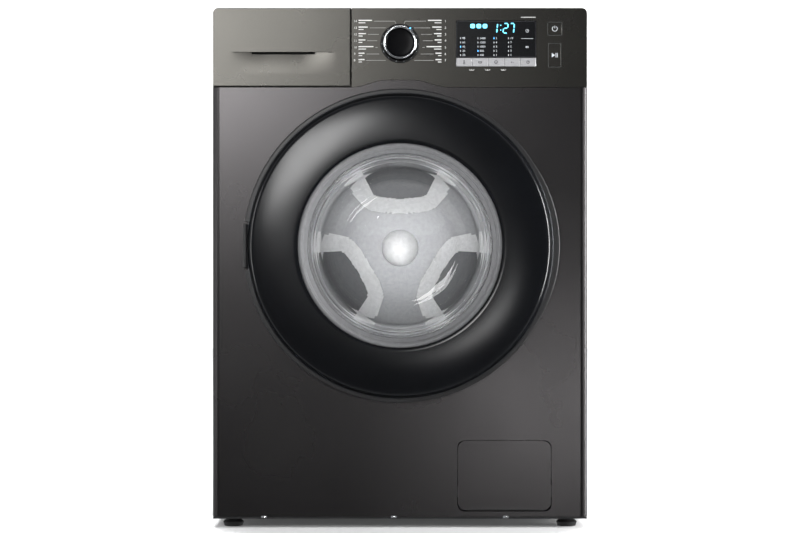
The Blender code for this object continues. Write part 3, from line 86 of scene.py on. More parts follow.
class Finish:
    """A Principled material whose colour, roughness and bump come from procedural nodes."""

    def __init__(self, name, roughness=0.5, metallic=0.0, coat=0.0, specular=0.5, stretch=(1, 1, 1)):
        self.material = bpy.data.materials.new(name)
        self.material.use_nodes = True
        self.tree = self.material.node_tree
        self.shader = self.tree.nodes["Principled BSDF"]
        self.shader.inputs["Metallic"].default_value = metallic
        self.shader.inputs["Roughness"].default_value = roughness
        self.shader.inputs["Coat Weight"].default_value = coat
        self.shader.inputs["Specular IOR Level"].default_value = specular
        self.roughness = roughness
        self.where = self.add("ShaderNodeMapping")
        self.where.inputs["Scale"].default_value = stretch
        self.link(self.add("ShaderNodeTexCoord").outputs["Object"], self.where.inputs["Vector"])

    def add(self, kind):
        return self.tree.nodes.new(kind)

    def link(self, start, end):
        self.tree.links.new(start, end)

    def noise(self, scale, detail=3.0):
        node = self.add("ShaderNodeTexNoise")
        node.inputs["Scale"].default_value = scale
        node.inputs["Detail"].default_value = detail
        self.link(self.where.outputs["Vector"], node.inputs["Vector"])
        return node.outputs["Fac"]

    def cells(self, scale):
        node = self.add("ShaderNodeTexVoronoi")
        node.inputs["Scale"].default_value = scale
        self.link(self.where.outputs["Vector"], node.inputs["Vector"])
        return node

    def colour(self, value, dark, light, low=0.35, high=0.65):
        """Base colour that runs from dark to light as value runs from low to high."""
        ramp = self.add("ShaderNodeValToRGB")
        first, last = ramp.color_ramp.elements
        first.position, last.position = low, high
        first.color, last.color = (*dark, 1.0), (*light, 1.0)
        self.link(value, ramp.inputs["Fac"])
        self.link(ramp.outputs["Color"], self.shader.inputs["Base Color"])
        return ramp

    def rough(self, value, spread):
        mapped = self.add("ShaderNodeMapRange")
        mapped.inputs["To Min"].default_value = max(0.0, self.roughness - spread)
        mapped.inputs["To Max"].default_value = min(1.0, self.roughness + spread)
        self.link(value, mapped.inputs["Value"])
        self.link(mapped.outputs["Result"], self.shader.inputs["Roughness"])

    def bump(self, value, strength, depth):
        bump = self.add("ShaderNodeBump")
        bump.inputs["Strength"].default_value = strength
        bump.inputs["Distance"].default_value = depth
        self.link(value, bump.inputs["Height"])
        self.link(bump.outputs["Normal"], self.shader.inputs["Normal"])

    def dress(self, colour, shade, uneven, relief):
        """Colour, roughness and bump, each from a noise whose scale and detail come first."""
        scale, detail, darker, lighter = shade
        self.colour(self.noise(scale, detail), tint(colour, darker), tint(colour, lighter))
        scale, detail, spread = uneven
        self.rough(self.noise(scale, detail), spread)
        scale, detail, strength, depth = relief
        self.bump(self.noise(scale, detail), strength, depth)
        return self.material


def tint(colour, share):
    return tuple(min(1.0, c * (1 + share)) for c in colour)


def metallic_paint(name, colour, roughness, metallic):
    """Baked metallic paint: fine flakes, a soft orange peel and faint handling marks."""
    paint = Finish(name, roughness, metallic, coat=0.06)
    paint.shader.inputs["Coat Roughness"].default_value = 0.35
    return paint.dress(colour, (2600, 2, -0.14, 0.14), (7, 4, 0.035), (900, 2, 0.05, 0.00005))


def moulded(name, colour, roughness, relief=0.12):
    """Moulded plastic with a fine spark-eroded grain and slightly uneven gloss."""
    grain = 1400
    return Finish(name, roughness).dress(
        colour, (35, 5, -0.09, 0.09), (grain / 6, 4, 0.07), (grain, 2, relief, 0.00008))


def rubber(name, colour):
    """Moulded rubber, with bloom on its surface and a dry, uneven feel."""
    return Finish(name, 0.72, specular=0.35).dress(
        colour, (60, 6, -0.2, 0.25), (220, 4, 0.1), (1100, 3, 0.25, 0.0001))


def galvanised(name):
    """Zinc-coated sheet with its spangle of crystals."""
    zinc = Finish(name, 0.42, 0.9)
    crystals = zinc.cells(75)
    zinc.colour(crystals.outputs["Color"], (0.38, 0.39, 0.41), (0.47, 0.48, 0.50), 0.1, 0.9)
    zinc.rough(zinc.noise(120, 3), 0.12)
    zinc.bump(crystals.outputs["Distance"], 0.06, 0.0001)
    return zinc.material


def brushed(name, colour, roughness):
    """Rolled or brushed metal with fine lines across its stretch axis."""
    metal = Finish(name, roughness, 1.0, stretch=(1, 1, 30))
    lines = metal.noise(260, 5)
    metal.colour(lines, tint(colour, -0.1), tint(colour, 0.08))
    metal.rough(lines, 0.07)
    metal.bump(lines, 0.05, 0.00004)
    return metal.material


def polished(name, colour, roughness):
    """Bright plated metal with faint haze."""
    return Finish(name, roughness, 1.0).dress(
        colour, (18, 4, -0.06, 0.05), (90, 4, 0.025), (500, 2, 0.02, 0.00003))


def cast(name, colour):
    """Die-cast aluminium with a pebbled skin."""
    return Finish(name, 0.5, 0.9).dress(
        colour, (90, 5, -0.18, 0.12), (140, 4, 0.1), (650, 4, 0.35, 0.0002))


def satin(name, colour):
    """Pressed steel with a soft, bead-blasted finish."""
    return Finish(name, 0.58, 0.12).dress(
        colour, (160, 4, -0.07, 0.07), (70, 4, 0.06), (1500, 2, 0.08, 0.00005))


def concrete(name):
    """Cast concrete with sand grain and air pits."""
    block = Finish(name, 0.9, specular=0.2)
    block.colour(block.noise(45, 8), (0.25, 0.245, 0.235), (0.42, 0.41, 0.39), 0.3, 0.7)
    block.rough(block.noise(60, 4), 0.06)
    block.bump(block.cells(230).outputs["Distance"], 0.5, 0.0006)
    return block.material


def gloss(name, colour, roughness, specular):
    """Polished plastic with very light smears."""
    return Finish(name, roughness, specular=specular).dress(
        colour, (12, 4, -0.12, 0.12), (26, 5, 0.02), (60, 2, 0.015, 0.0001))


def clear_glass(name, colour):
    """Pressed glass with a slight waviness."""
    made = Finish(name, 0.0)
    made.shader.inputs["Transmission Weight"].default_value = 1.0
    made.shader.inputs["IOR"].default_value = 1.46
    made.colour(made.noise(4, 2), tint(colour, -0.015), colour)
    made.bump(made.noise(22, 2), 0.02, 0.0002)
    return made.material


def ink(name, colour):
    """Screen printing, slightly uneven in its cover."""
    made = Finish(name, 0.45, specular=0.3)
    made.colour(made.noise(900, 3), tint(colour, -0.16), colour)
    made.rough(made.noise(300, 3), 0.08)
    return made.material


def lit(name, colour, strength):
    """A lit segment or lamp behind the front, brighter in its middle grain."""
    made = Finish(name, 0.3)
    ramp = made.colour(made.noise(400, 2), tint(colour, -0.15), colour)
    made.link(ramp.outputs["Color"], made.shader.inputs["Emission Color"])
    made.shader.inputs["Emission Strength"].default_value = strength
    return made.material


LOOKS = {name: make(name, *settings) for name, make, *settings in (
    ("graphite_paint", metallic_paint, (0.058, 0.055, 0.056), 0.265, 0.95),
    ("graphite_plastic", metallic_paint, (0.056, 0.054, 0.049), 0.275, 0.95),
    ("black_gloss", gloss, (0.0022, 0.0026, 0.0036), 0.215, 0.44),
    ("black_plastic", moulded, (0.012, 0.012, 0.013), 0.42),
    ("graphite_laminate", metallic_paint, (0.078, 0.074, 0.075), 0.45, 0.5),
    ("galvanised_steel", galvanised),
    ("stainless_steel", brushed, (0.60, 0.61, 0.62), 0.27),
    ("chrome", polished, (0.70, 0.72, 0.74), 0.09),
    ("grey_plastic", moulded, (0.42, 0.43, 0.44), 0.5),
    ("white_plastic", moulded, (0.72, 0.72, 0.70), 0.45),
    ("grey_rubber", rubber, (0.13, 0.135, 0.14)),
    ("black_rubber", rubber, (0.014, 0.014, 0.014)),
    ("cast_aluminium", cast, (0.55, 0.56, 0.57)),
    ("concrete", concrete),
    ("clear_glass", clear_glass, (0.952, 0.955, 0.962)),
    ("silver_paint", metallic_paint, (0.38, 0.38, 0.392), 0.38, 0.35),
)}
BRIGHT_EDGE = polished("bright_edge", (0.050, 0.052, 0.056), 0.30)
DIM_EDGE = polished("dim_edge", (0.045, 0.047, 0.050), 0.30)
TRIM = satin("window_trim_metal", (0.17, 0.172, 0.178))
KNOB = gloss("knob_black", (0.003, 0.003, 0.0035), 0.20, 0.05)
SKIRT = moulded("skirt_black", (0.010, 0.010, 0.010), 0.30, relief=0.05)
# Painted shade: a dark copy of the drum's steel for the dimpled holes, standing in for the shade seen
# through them.
HOLE_SHADE = brushed("pressed_holes_painted_shade", (0.10, 0.105, 0.11), 0.45)
HUB = satin("hub_satin", (0.82, 0.825, 0.83))
# Painted highlight: a near-white copy of the star's steel for its sloped bevels, where light catches them.
BEVEL_HIGHLIGHT = satin("star_bevel_painted_highlight", (0.80, 0.805, 0.81))
BUTTON_EDGE = polished("button_edge", (0.34, 0.35, 0.34), 0.24)
WALL = brushed("drum_wall_steel", (0.26, 0.265, 0.27), 0.36)
SATIN = satin("star_body", (0.37, 0.375, 0.385))
# Painted shade: a dark copy of the star's steel for the round hollows between the arms.
HOLLOW_SHADE = satin("star_hollow_painted_shade", (0.13, 0.133, 0.138))
WHITE_INK = ink("white_ink", (0.86, 0.86, 0.84))
GREY_INK = ink("grey_ink", (0.50, 0.50, 0.49))
DARK_INK = ink("dark_ink", (0.03, 0.03, 0.035))
PALE_INK = ink("pale_ink", (0.70, 0.74, 0.78))
CYAN = lit("cyan_segments", (0.16, 0.75, 1.0), 2.6)
BLUE = lit("blue_lamp", (0.10, 0.45, 1.0), 3.0)
# Painted shadow: near-black for the back of the finger slot and the pocket cutters, standing in for the
# shade inside those recesses.
SHADOW = moulded("painted_shadow_recess", (0.004, 0.004, 0.004), 0.7)

for part in frame["record"]["subparts"]:
    mesh = frame["nodes"][part["node"]].data
    mesh.materials.clear()
    mesh.materials.append(LOOKS[part["material_slot"]])

# ---------------- making meshes


def piece(name, verts, faces, look, body, slot, replaces=(), smooth=35.0):
    """A mesh that rides on a body, if one is given, in its own look or its slot's.

    Its faces are turned outwards and shaded smooth up to an angle.
    """
    mesh = bpy.data.meshes.new(name)
    mesh.from_pydata([tuple(v) for v in verts], [], faces)
    shape = bmesh.new()
    shape.from_mesh(mesh)
    bmesh.ops.remove_doubles(shape, verts=shape.verts, dist=0.000002)
    bmesh.ops.recalc_face_normals(shape, faces=shape.faces)
    shape.to_mesh(mesh)
    shape.free()
    mesh.materials.append(look or LOOKS[slot])
    mesh.shade_smooth()
    mesh.set_sharp_from_angle(angle=math.radians(smooth))
    obj = bpy.data.objects.new(name, mesh)
    bpy.context.scene.collection.objects.link(obj)
    if body:
        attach(obj, body)
    if replaces:
        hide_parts(*replaces)
    return obj


def swept(section, segments=FINE, closed=True, centre=(0.0, DOOR_Z)):
    """Vertices and faces of a shape turned about the Y axis through centre.

    section(angle) gives its (radius, y) points, so the shape can change on its way round.
    """
    cx, cz = centre
    verts, faces = [], []
    for step in range(segments):
        angle = 2 * math.pi * step / segments
        for radius, y in section(angle):
            verts.append((cx + radius * math.cos(angle), y, cz + radius * math.sin(angle)))
    count = len(verts) // segments
    for step in range(segments):
        here, there = step * count, (step + 1) % segments * count
        for i in range(count if closed else count - 1):
            j = (i + 1) % count
            faces.append((here + i, here + j, there + j, there + i))
    return verts, faces


def lathe(profile, segments=FINE, closed=True, centre=(0.0, DOOR_Z)):
    return swept(lambda angle: profile, segments, closed, centre)


def prism(outline, low, high):
    """Vertices and faces of a flat (x, z) outline between two places along Y."""
    count = len(outline)
    verts = [(x, low, z) for x, z in outline] + [(x, high, z) for x, z in outline]
    faces = [tuple(range(count)), tuple(range(2 * count - 1, count - 1, -1))]
    faces += [(i, (i + 1) % count, count + (i + 1) % count, count + i) for i in range(count)]
    return verts, faces


def gather(shapes):
    """One vertex and face list from several."""
    verts, faces = [], []
    for more_verts, more_faces in shapes:
        start = len(verts)
        verts += more_verts
        faces += [tuple(start + i for i in face) for face in more_faces]
    return verts, faces


def near(x, y, *steps):
    """Points that lie the given steps, in millimetres, from a place."""
    return [(x + across / 1000, y + up / 1000) for across, up in steps]


def arc(cx, cz, radius, start, stop, steps=12):
    turns = np.radians(np.linspace(start, stop, steps + 1))
    return [(cx + radius * math.cos(t), cz + radius * math.sin(t)) for t in turns]


def round_box(left, low, right, high, radius, steps=5):
    corners = ((right, high, 0), (left, high, 90), (left, low, 180), (right, low, 270))
    outline = []
    for x, z, turn in corners:
        cx = x - math.copysign(radius, x - (left + right) / 2)
        cz = z - math.copysign(radius, z - (low + high) / 2)
        outline += arc(cx, cz, radius, turn, turn + 90, steps)
    return outline


def stroke(points, width):
    """The outline of a line of even width through (x, z) points."""
    line = [Vector(p) for p in points]
    left, right = [], []
    for i, here in enumerate(line):
        back = (here - line[i - 1]).normalized() if i else None
        on = (line[i + 1] - here).normalized() if i + 1 < len(line) else None
        along = ((back or on) + (on or back)).normalized()
        across = Vector((-along.y, along.x))
        stretch = 1 / max(0.5, abs(along.dot(back or on)))
        left.append(here + across * width / 2 * stretch)
        right.append(here - across * width / 2 * stretch)
    return [tuple(p) for p in left + right[::-1]]


def loop_stroke(outline, width):
    """A closed line as a band of quads: vertices and faces between two grown outlines."""
    points = [Vector(p) for p in outline]
    count = len(points)
    inner, outer = [], []
    for i, here in enumerate(points):
        along = (points[(i + 1) % count] - points[i - 1]).normalized()
        across = Vector((-along.y, along.x)) * width / 2
        inner.append(here + across)
        outer.append(here - across)
    return inner, outer


def printed(name, outlines, surface, look, body="cabinet", slot="silver_paint", loops=(), thick=PRINT):
    """Printing on a face towards the front: flat outlines and closed lines just proud of it."""
    shapes = [prism(outline, surface, surface - thick) for outline in outlines]
    for outline, width in loops:
        inner, outer = loop_stroke(outline, width)
        count = len(inner)
        verts = [(p.x, surface - thick, p.y) for p in inner + outer]
        verts += [(p.x, surface, p.y) for p in inner + outer]
        faces = []
        for i in range(count):
            j = (i + 1) % count
            faces += [
                (i, j, count + j, count + i),
                (2 * count + i, 3 * count + i, 3 * count + j, 2 * count + j),
                (i, 2 * count + i, 2 * count + j, j),
                (count + i, count + j, 3 * count + j, 3 * count + i),
            ]
        shapes.append((verts, faces))
    return piece(name, *gather(shapes), look, body, slot, smooth=20.0)


def numerals(name, labels, surface, look):
    """Numbers printed on the cabinet's front, from (text, x, z, height, alignment)."""
    graph = bpy.context.evaluated_depsgraph_get()
    verts, faces = [], []
    for text, x, z, height, align in labels:
        curve = bpy.data.curves.new("numeral", "FONT")
        curve.body, curve.size, curve.resolution_u = text, height * 1.4, 3
        curve.align_x, curve.align_y = align, "CENTER"
        made = bpy.data.objects.new("numeral", curve)
        bpy.context.scene.collection.objects.link(made)
        graph.update()
        mesh = bpy.data.meshes.new_from_object(made.evaluated_get(graph))
        start = len(verts)
        verts += [(x + v.co.x, surface - PRINT, z + v.co.y) for v in mesh.vertices]
        faces += [tuple(start + i for i in p.vertices) for p in mesh.polygons]
        bpy.data.objects.remove(made)
        bpy.data.curves.remove(curve)
        bpy.data.meshes.remove(mesh)
    made = piece(name, verts, faces, look, None, "silver_paint", smooth=20.0)
    solid = made.modifiers.new("thickness", "SOLIDIFY")
    solid.thickness, solid.offset = PRINT, 0.0
    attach(made, "cabinet")


# ---------------- door


CROWN = 0.006           # width of the rim's rolled inner lip
SHOULDER = 0.0068       # width of its rolled outer edge
RIM_FALL = 0.0066       # how far its broad face falls back towards that edge


def door_rim():
    """The black gloss ring: a rolled inner lip, a broad face that falls away and a round edge."""
    low, back, reach = RIM_LOW.y, RIM_HIGH.y, RIM_RADIUS
    lip = WINDOW_RADIUS + GAP
    turns = np.linspace(0, 1, 19)
    crest = lip + CROWN
    inner = [(lip + CROWN * t, low + 0.0016 * (1 - math.sin(t * math.pi / 2)) + 0.0001) for t in turns]
    outer = [(crest + (reach - SHOULDER - crest) * t, low + 0.0001 + RIM_FALL * t ** 2) for t in turns[1:]]
    edge = near(reach, low, (-5.2, 7.8), (-3.8, 10.0), (-2.8, 12.6), (-1.6, 15.6), (-0.6, 18.0), (0, 20.4))
    inside = [(reach, back), (reach - 0.003, back), *near(reach, low, (-3, 21), (-20, 11.5)),
              *near(lip, low, (30, 3), (3, 8.5)), (lip + 0.003, back), (lip, back)]
    profile = [(lip, low + 0.0030), *inner, *outer, *edge, *inside]
    piece("door_rim", *lathe(profile), None, "door", "black_gloss", ["door_frame"], 24)


def edge_line(name, radius, y, width, look):
    """A fine dark metal line let into the door's edge."""
    profile = arc(radius, y, width / 2, 0, 360, 10)[:-1]
    piece(name, *lathe(profile), look, "door", "chrome")


def window_trim():
    """The ring round the window, stepped down towards the glass so that its edges catch the light."""
    low, back, inner = TRIM_LOW.y, TRIM_HIGH.y, WINDOW_RADIUS - 0.0156
    steps = near(inner, low, (0, 9.8), (0.6, 9.0), (1.8, 8.6), (2.2, 7.8), (3.6, 7.4), (4.1, 6.4),
                 (6.0, 5.8), (7.8, 2.2), (8.6, 2.2), (9.4, 0.6), (11, 0), (13.4, 0.1), (14.8, 0.6),
                 (15.5, 1.8))
    profile = [(inner, back), *steps, (WINDOW_RADIUS, back)]
    piece("window_trim", *lathe(profile), TRIM, "door", "chrome", ["door_trim_ring"], 22)


MOULD_RIDGE = 0.0012    # height of the rings inside the bowl


def door_bowl():
    """The pressed glass bowl, with the stepped rings of its mould and a thick, lens-like end."""
    deep, flange_front, flange_back = GLASS_HIGH.y, GLASS_LOW.y, BACK_RING_LOW.y - GAP
    reach, neck, end, wall = GLASS_HIGH.x, WINDOW_RADIUS - 0.0115, 0.088, 0.0045
    start = FRONT - 0.004
    outer = []
    for turn in np.linspace(0, math.pi / 2, 22):
        across = end + (neck - end) * math.cos(turn) ** 0.9
        outer.append((across, start + (deep - 0.003 - start) * math.sin(turn)))
    inner = [(r - wall, y - wall / 2) for r, y in outer][::-1]
    for i in (11, 14, 17, 20):
        radius, y = inner[i]
        inner[i] = (radius - MOULD_RIDGE, y - MOULD_RIDGE)
    turns = np.linspace(0, 1, 8)
    lens = [(end * 0.80 * t, deep - wall - 0.0016 * math.cos(t * math.pi / 2)) for t in turns]
    dome = [(end * t, deep - 0.003 * t ** 2) for t in np.linspace(0.97, 0, 8)]
    profile = [*lens, *inner, (neck - wall, flange_front), (reach, flange_front), (reach, flange_back)]
    profile += [(neck, flange_back), *outer, *dome]
    piece("door_bowl", *lathe(profile, closed=False), None, "door", "clear_glass", ["door_glass"], 30)


def back_ring():
    """The inner door moulding, with its grip on the right and the notch for the hinge."""
    low, back = BACK_RING_LOW.y, BACK_RING_HIGH.y
    bore, body = WINDOW_RADIUS - 0.0090, BACK_RING_RADIUS
    grip_curve = 0.228
    grip_middle = BACK_RING_HIGH.x - grip_curve
    notch_x, notch_half = BRACKET_HIGH.x + GAP, 0.037

    def reach(angle):
        across = grip_middle * math.cos(angle)
        grip = across + math.sqrt(max(0.0, grip_curve ** 2 - (grip_middle * math.sin(angle)) ** 2))
        radius = max(body, grip)
        in_notch = math.cos(angle) < 0 and abs(body * math.sin(angle)) < notch_half
        return min(radius, notch_x / math.cos(angle)) if in_notch else radius

    def section(angle):
        edge = reach(angle)
        rounded = [(edge - 0.0022 + x, low + 0.0022 + z) for x, z in arc(0, 0, 0.0022, -90, 0, 5)]
        far = [(edge - 0.001, back), (bore + 0.004, back), (bore, back - 0.001), (bore, low)]
        return [*rounded, (edge, back - 0.001), *far]

    made = piece("door_back_moulding", *swept(section, 2 * FINE), None, "door",
                 "black_plastic", ["door_back_ring"], 30)
    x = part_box("door_hook")[0].x + 0.003
    outline = round_box(x - 0.010, DOOR_Z - 0.012, x + 0.012, DOOR_Z + 0.012, 0.002)
    pocket = prism(outline, low - 0.01, back + 0.01)
    carve(made, piece("hook_pocket", *pocket, SHADOW, "door", "black_plastic"))


def carve(target, cutter):
    """Cuts a closed piece out of another and removes it."""
    cut = target.modifiers.new("cut", "BOOLEAN")
    cut.operation, cut.solver, cut.object = "DIFFERENCE", "EXACT", cutter
    bpy.context.view_layer.update()
    graph = bpy.context.evaluated_depsgraph_get()
    mesh = bpy.data.meshes.new_from_object(target.evaluated_get(graph))
    target.modifiers.clear()
    target.data = mesh
    bpy.data.objects.remove(cutter)
    mesh.set_sharp_from_angle(angle=math.radians(30))


def gasket():
    """The pleated rubber seal from the front panel to the tub."""
    (_, front, _), (reach, back, _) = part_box("door_gasket")
    edge = reach - 0.0235
    depth = back - front - 0.010
    outer, inner = [], []
    for t in np.linspace(0, 1, 40):
        swell = 0.0075 * (1 - math.cos(2 * math.pi * 2.25 * t)) * (0.4 + 0.6 * t) + 0.006 * t
        y = front + 0.009 + depth * t
        outer.append((edge + 0.004 + swell, y))
        inner.append((edge - 0.001 + swell, y))
    lip = near(edge, front, (-13.5, 3.0), (-13.0, 1.2), (-8.5, 0.4), (-3.0, 0.2), (0, 1.8), (0.3, 7.0))
    profile = lip + outer + inner[::-1] + [(edge - 0.0070, front + 0.0110)]
    made = piece("door_seal", *lathe(profile), None, None, "grey_rubber", ["door_gasket"], 40)
    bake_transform(made)


def flexing(node, slot):
    """The node's own shape, which runs from the cabinet to the tub, made into a piece of its own."""
    source = frame["nodes"][node].data
    verts = [point.co for point in source.vertices]
    faces = [tuple(face.vertices) for face in source.polygons]
    made = piece(f"{node}_flexing", verts, faces, None, None, slot, [node], 40)
    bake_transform(made)


# ---------------- drum

STAR_ARMS = (270, 30, 150)
HOLLOWS = (90, 210, 330)    # directions of the three round hollows between the star's arms
HOLLOW_OUT = 0.157          # their centres from the shaft
HOLLOW_RADIUS = 0.107
BEVEL_WIDTH = 0.036
STAR_RISE = 0.013
WALL_SEAT = 0.0015          # the rear wall's low parts from the drum's rear
STAR_REACH = 0.226
HUB_RADIUS = 0.027
HUB_DOME = 0.014


def star_height(x, z):
    """How far the stamped star stands off the drum's rear wall at a place, from 0 to 1."""
    lowest = min(1.0, max(0.0, (STAR_REACH - math.hypot(x, z)) / 0.008))
    for direction in HOLLOWS:
        turn = math.radians(direction)
        away = math.hypot(x - HOLLOW_OUT * math.cos(turn), z - HOLLOW_OUT * math.sin(turn))
        lowest = min(lowest, max(0.0, (away - HOLLOW_RADIUS + BEVEL_WIDTH) / BEVEL_WIDTH))
    return lowest


def drum_back():
    """The drum's rear wall with its stamped star, as a polar grid, with painted highlight on the bevels
    and painted shade in the hollows.
    """
    back = DRUM_HIGH.y
    rings, spokes = 84, 216
    verts, faces = [(0.0, back - WALL_SEAT - STAR_RISE, DOOR_Z)], []
    for ring in range(1, rings + 1):
        radius = (DRUM_RADIUS - 0.0025) * ring / rings
        for spoke in range(spokes):
            turn = 2 * math.pi * spoke / spokes
            x, z = radius * math.cos(turn), radius * math.sin(turn)
            verts.append((x, back - WALL_SEAT - STAR_RISE * star_height(x, z), DOOR_Z + z))
    for spoke in range(spokes):
        on = (spoke + 1) % spokes
        faces.append((0, 1 + spoke, 1 + on))
        for ring in range(rings - 1):
            a, b = 1 + ring * spokes, 1 + (ring + 1) * spokes
            faces.append((a + spoke, b + spoke, b + on, a + on))
    made = piece("drum_rear_wall", verts, faces, SATIN, None, "stainless_steel", smooth=24)
    made.data.materials.append(BEVEL_HIGHLIGHT)
    made.data.materials.append(HOLLOW_SHADE)
    # Faces on the bevels get the painted highlight, and faces in the hollows get the painted shade.
    for face in made.data.polygons:
        height = star_height(face.center.x, face.center.z - DOOR_Z)
        if 0.04 < height < 0.97:
            face.material_index = 1
        elif height < 0.5:
            face.material_index = 2
    solid = made.modifiers.new("sheet", "SOLIDIFY")
    solid.thickness, solid.offset = 0.0008, 0.0
    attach(made, "drum")


def drum_wall():
    """The rolled drum: its front lip, a rounded shoulder, and pressed rings near both ends."""
    front, back, radius = DRUM_LOW.y, DRUM_HIGH.y, DRUM_RADIUS
    mouth = 0.160
    outer = [(mouth, front + 0.003), (mouth + 0.001, front + 0.0006), (mouth + 0.004, front)]
    outer += [(radius - 0.012 + x, front + 0.012 + y) for x, y in arc(0, 0, 0.012, -90, 0, 8)]
    for t in np.linspace(0.02, 0.98, 40):
        groove = 0.0012 if 0.07 < t < 0.11 or 0.88 < t < 0.92 else 0.0
        outer.append((radius - groove, front + 0.012 + (back - front - 0.012) * t))
    outer.append((radius, back - 0.0022))
    inner = [(r - 0.0012, max(y, front + 0.0012)) for r, y in outer[3:]][::-1]
    profile = outer + [(radius - 0.0012, back - 0.0022)] + inner[1:] + [(mouth + 0.0035, front + 0.0013)]
    piece("drum_wall", *lathe(profile), WALL, "drum", "stainless_steel", ["drum_shell"], 40)


def drum_holes():
    """The perforation: small dimpled holes in staggered rows, left out under the lifters, in a dark steel
    that paints the shade seen through them.
    """
    front, back = DRUM_LOW.y + 0.030, DRUM_HIGH.y - 0.014
    radius = DRUM_RADIUS - 0.0013
    rows, count, sides = 15, 90, 8
    verts, faces = [], []
    for row in range(rows):
        y = front + (back - front) * row / (rows - 1)
        for number in range(count):
            turn = 2 * math.pi * (number + 0.5 * (row % 2)) / count
            gap = min(abs((math.degrees(turn) - arm + 180) % 360 - 180) for arm in STAR_ARMS)
            if gap < 11:
                continue
            start = len(verts)
            for size, lift in ((0.0030, 0.0), (0.0022, 0.0007), (0.0018, 0.0001)):
                for side in range(sides):
                    spin = 2 * math.pi * side / sides
                    angle = turn + size * math.cos(spin) / radius
                    r = radius - lift
                    x, z = r * math.cos(angle), DOOR_Z + r * math.sin(angle)
                    verts.append((x, y + size * math.sin(spin), z))
            for side in range(sides):
                on = (side + 1) % sides
                for level in (0, sides):
                    faces.append((start + level + side, start + level + on,
                                  start + level + sides + on, start + level + sides + side))
            faces.append(tuple(start + 2 * sides + side for side in range(sides)))
    piece("drum_perforation", verts, faces, HOLE_SHADE, "drum", "stainless_steel", smooth=50)


def hub_cap():
    """The domed cap over the drum's shaft."""
    seat = DRUM_HIGH.y - WALL_SEAT - STAR_RISE
    turns = np.linspace(0, math.pi / 2, 14)
    profile = [(HUB_RADIUS * math.sin(t), seat - HUB_DOME * math.cos(t)) for t in turns]
    profile += [*near(HUB_RADIUS, seat, (0.6, -0.4), (0.6, 0.6)), (0.0, seat + 0.0006)]
    piece("drum_hub_cap", *lathe(profile, 96, closed=False), HUB, "drum", "stainless_steel", smooth=40)


def lifter(node, angle):
    """A moulded paddle: a tapered fin with rounded flanks and sloped ends."""
    low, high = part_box(node)
    front, back = low.y, high.y
    seat, crest = DRUM_RADIUS - 0.0023, 0.181
    rows, across = 20, 14
    verts, faces = [], []
    for row in range(rows + 1):
        t = row / rows
        ends = min(1.0, min(t, 1 - t) / 0.14)
        rise = (seat - crest) * math.sin(ends * math.pi / 2) ** 0.8
        width = 0.0340 - 0.004 * (1 - ends)
        for i in range(across + 1):
            s = 2 * i / across - 1
            height = rise * (1 - abs(s) ** 2.2) ** 0.9 if abs(s) < 1 else 0.0
            foot = math.sqrt(seat ** 2 - (width * s) ** 2)
            turn = math.radians(angle)
            x, r = width * s * (1 - 0.25 * height / 0.065), foot - height
            verts.append((r * math.cos(turn) - x * math.sin(turn), front + (back - front) * t,
                          DOOR_Z + r * math.sin(turn) + x * math.cos(turn)))
    line = across + 1
    for row in range(rows):
        for i in range(across):
            a = row * line + i
            faces.append((a, a + 1, a + line + 1, a + line))
    for row in (0, rows):
        faces.append(tuple(row * line + i for i in range(line)))
    faces += [(row * line, (row + 1) * line, (row + 1) * line + across, row * line + across)
              for row in range(rows)]
    piece(f"{node}_paddle", verts, faces, None, "drum", "grey_plastic", [node], 50)

# ---------------- control panel


def mirrored(outlines):
    return [[(-x, z) for x, z in outline][::-1] for outline in outlines]


LEADERS = (             # height, far end and near end of each line on the dial's left
    (0.8084, -0.0416, -0.0083), (0.7977, -0.0483, -0.0225), (0.7873, -0.0512, -0.0335),
    (0.7772, -0.0523, -0.0365), (0.7665, -0.0393, -0.0357), (0.7560, -0.0536, -0.0330),
    (0.7458, -0.0536, -0.0225),
)
SKIRT_RADIUS = 0.0314
DOT_CIRCLE = 0.0292
DOT_GAP = 16            # degrees left clear on each side of the top
LABEL_LEFT = -0.0737


def dial_printing():
    """Lines from the dial to numbered programmes. Short bars stand where programme names would be."""
    lines, bars, labels = [], [], []
    for number, (z, far, close) in enumerate(LEADERS):
        points = [(far, z), (close, z)]
        if number == 0:
            points.append((close + 0.0018, z - 0.0042))
        lines.append(stroke(points, 0.00055))
        start = LABEL_LEFT + 0.0075
        short = start + 0.45 * (far - start)
        bars.append(round_box(start, z + 0.0004, far - 0.0030, z + 0.0021, 0.0004, 2))
        bars.append(round_box(start, z - 0.0032, short, z - 0.0020, 0.0004, 2))
        labels.append((str(14 - number), LABEL_LEFT, z - 0.0001, 0.0036, "LEFT"))
        labels.append((str(number + 1), -LABEL_LEFT, z - 0.0001, 0.0036, "RIGHT"))
    printed("dial_lines", lines + mirrored(lines), FRONT, GREY_INK)
    printed("dial_bars", bars + mirrored(bars), FRONT, WHITE_INK)
    numerals("dial_numbers", labels, FRONT, WHITE_INK)


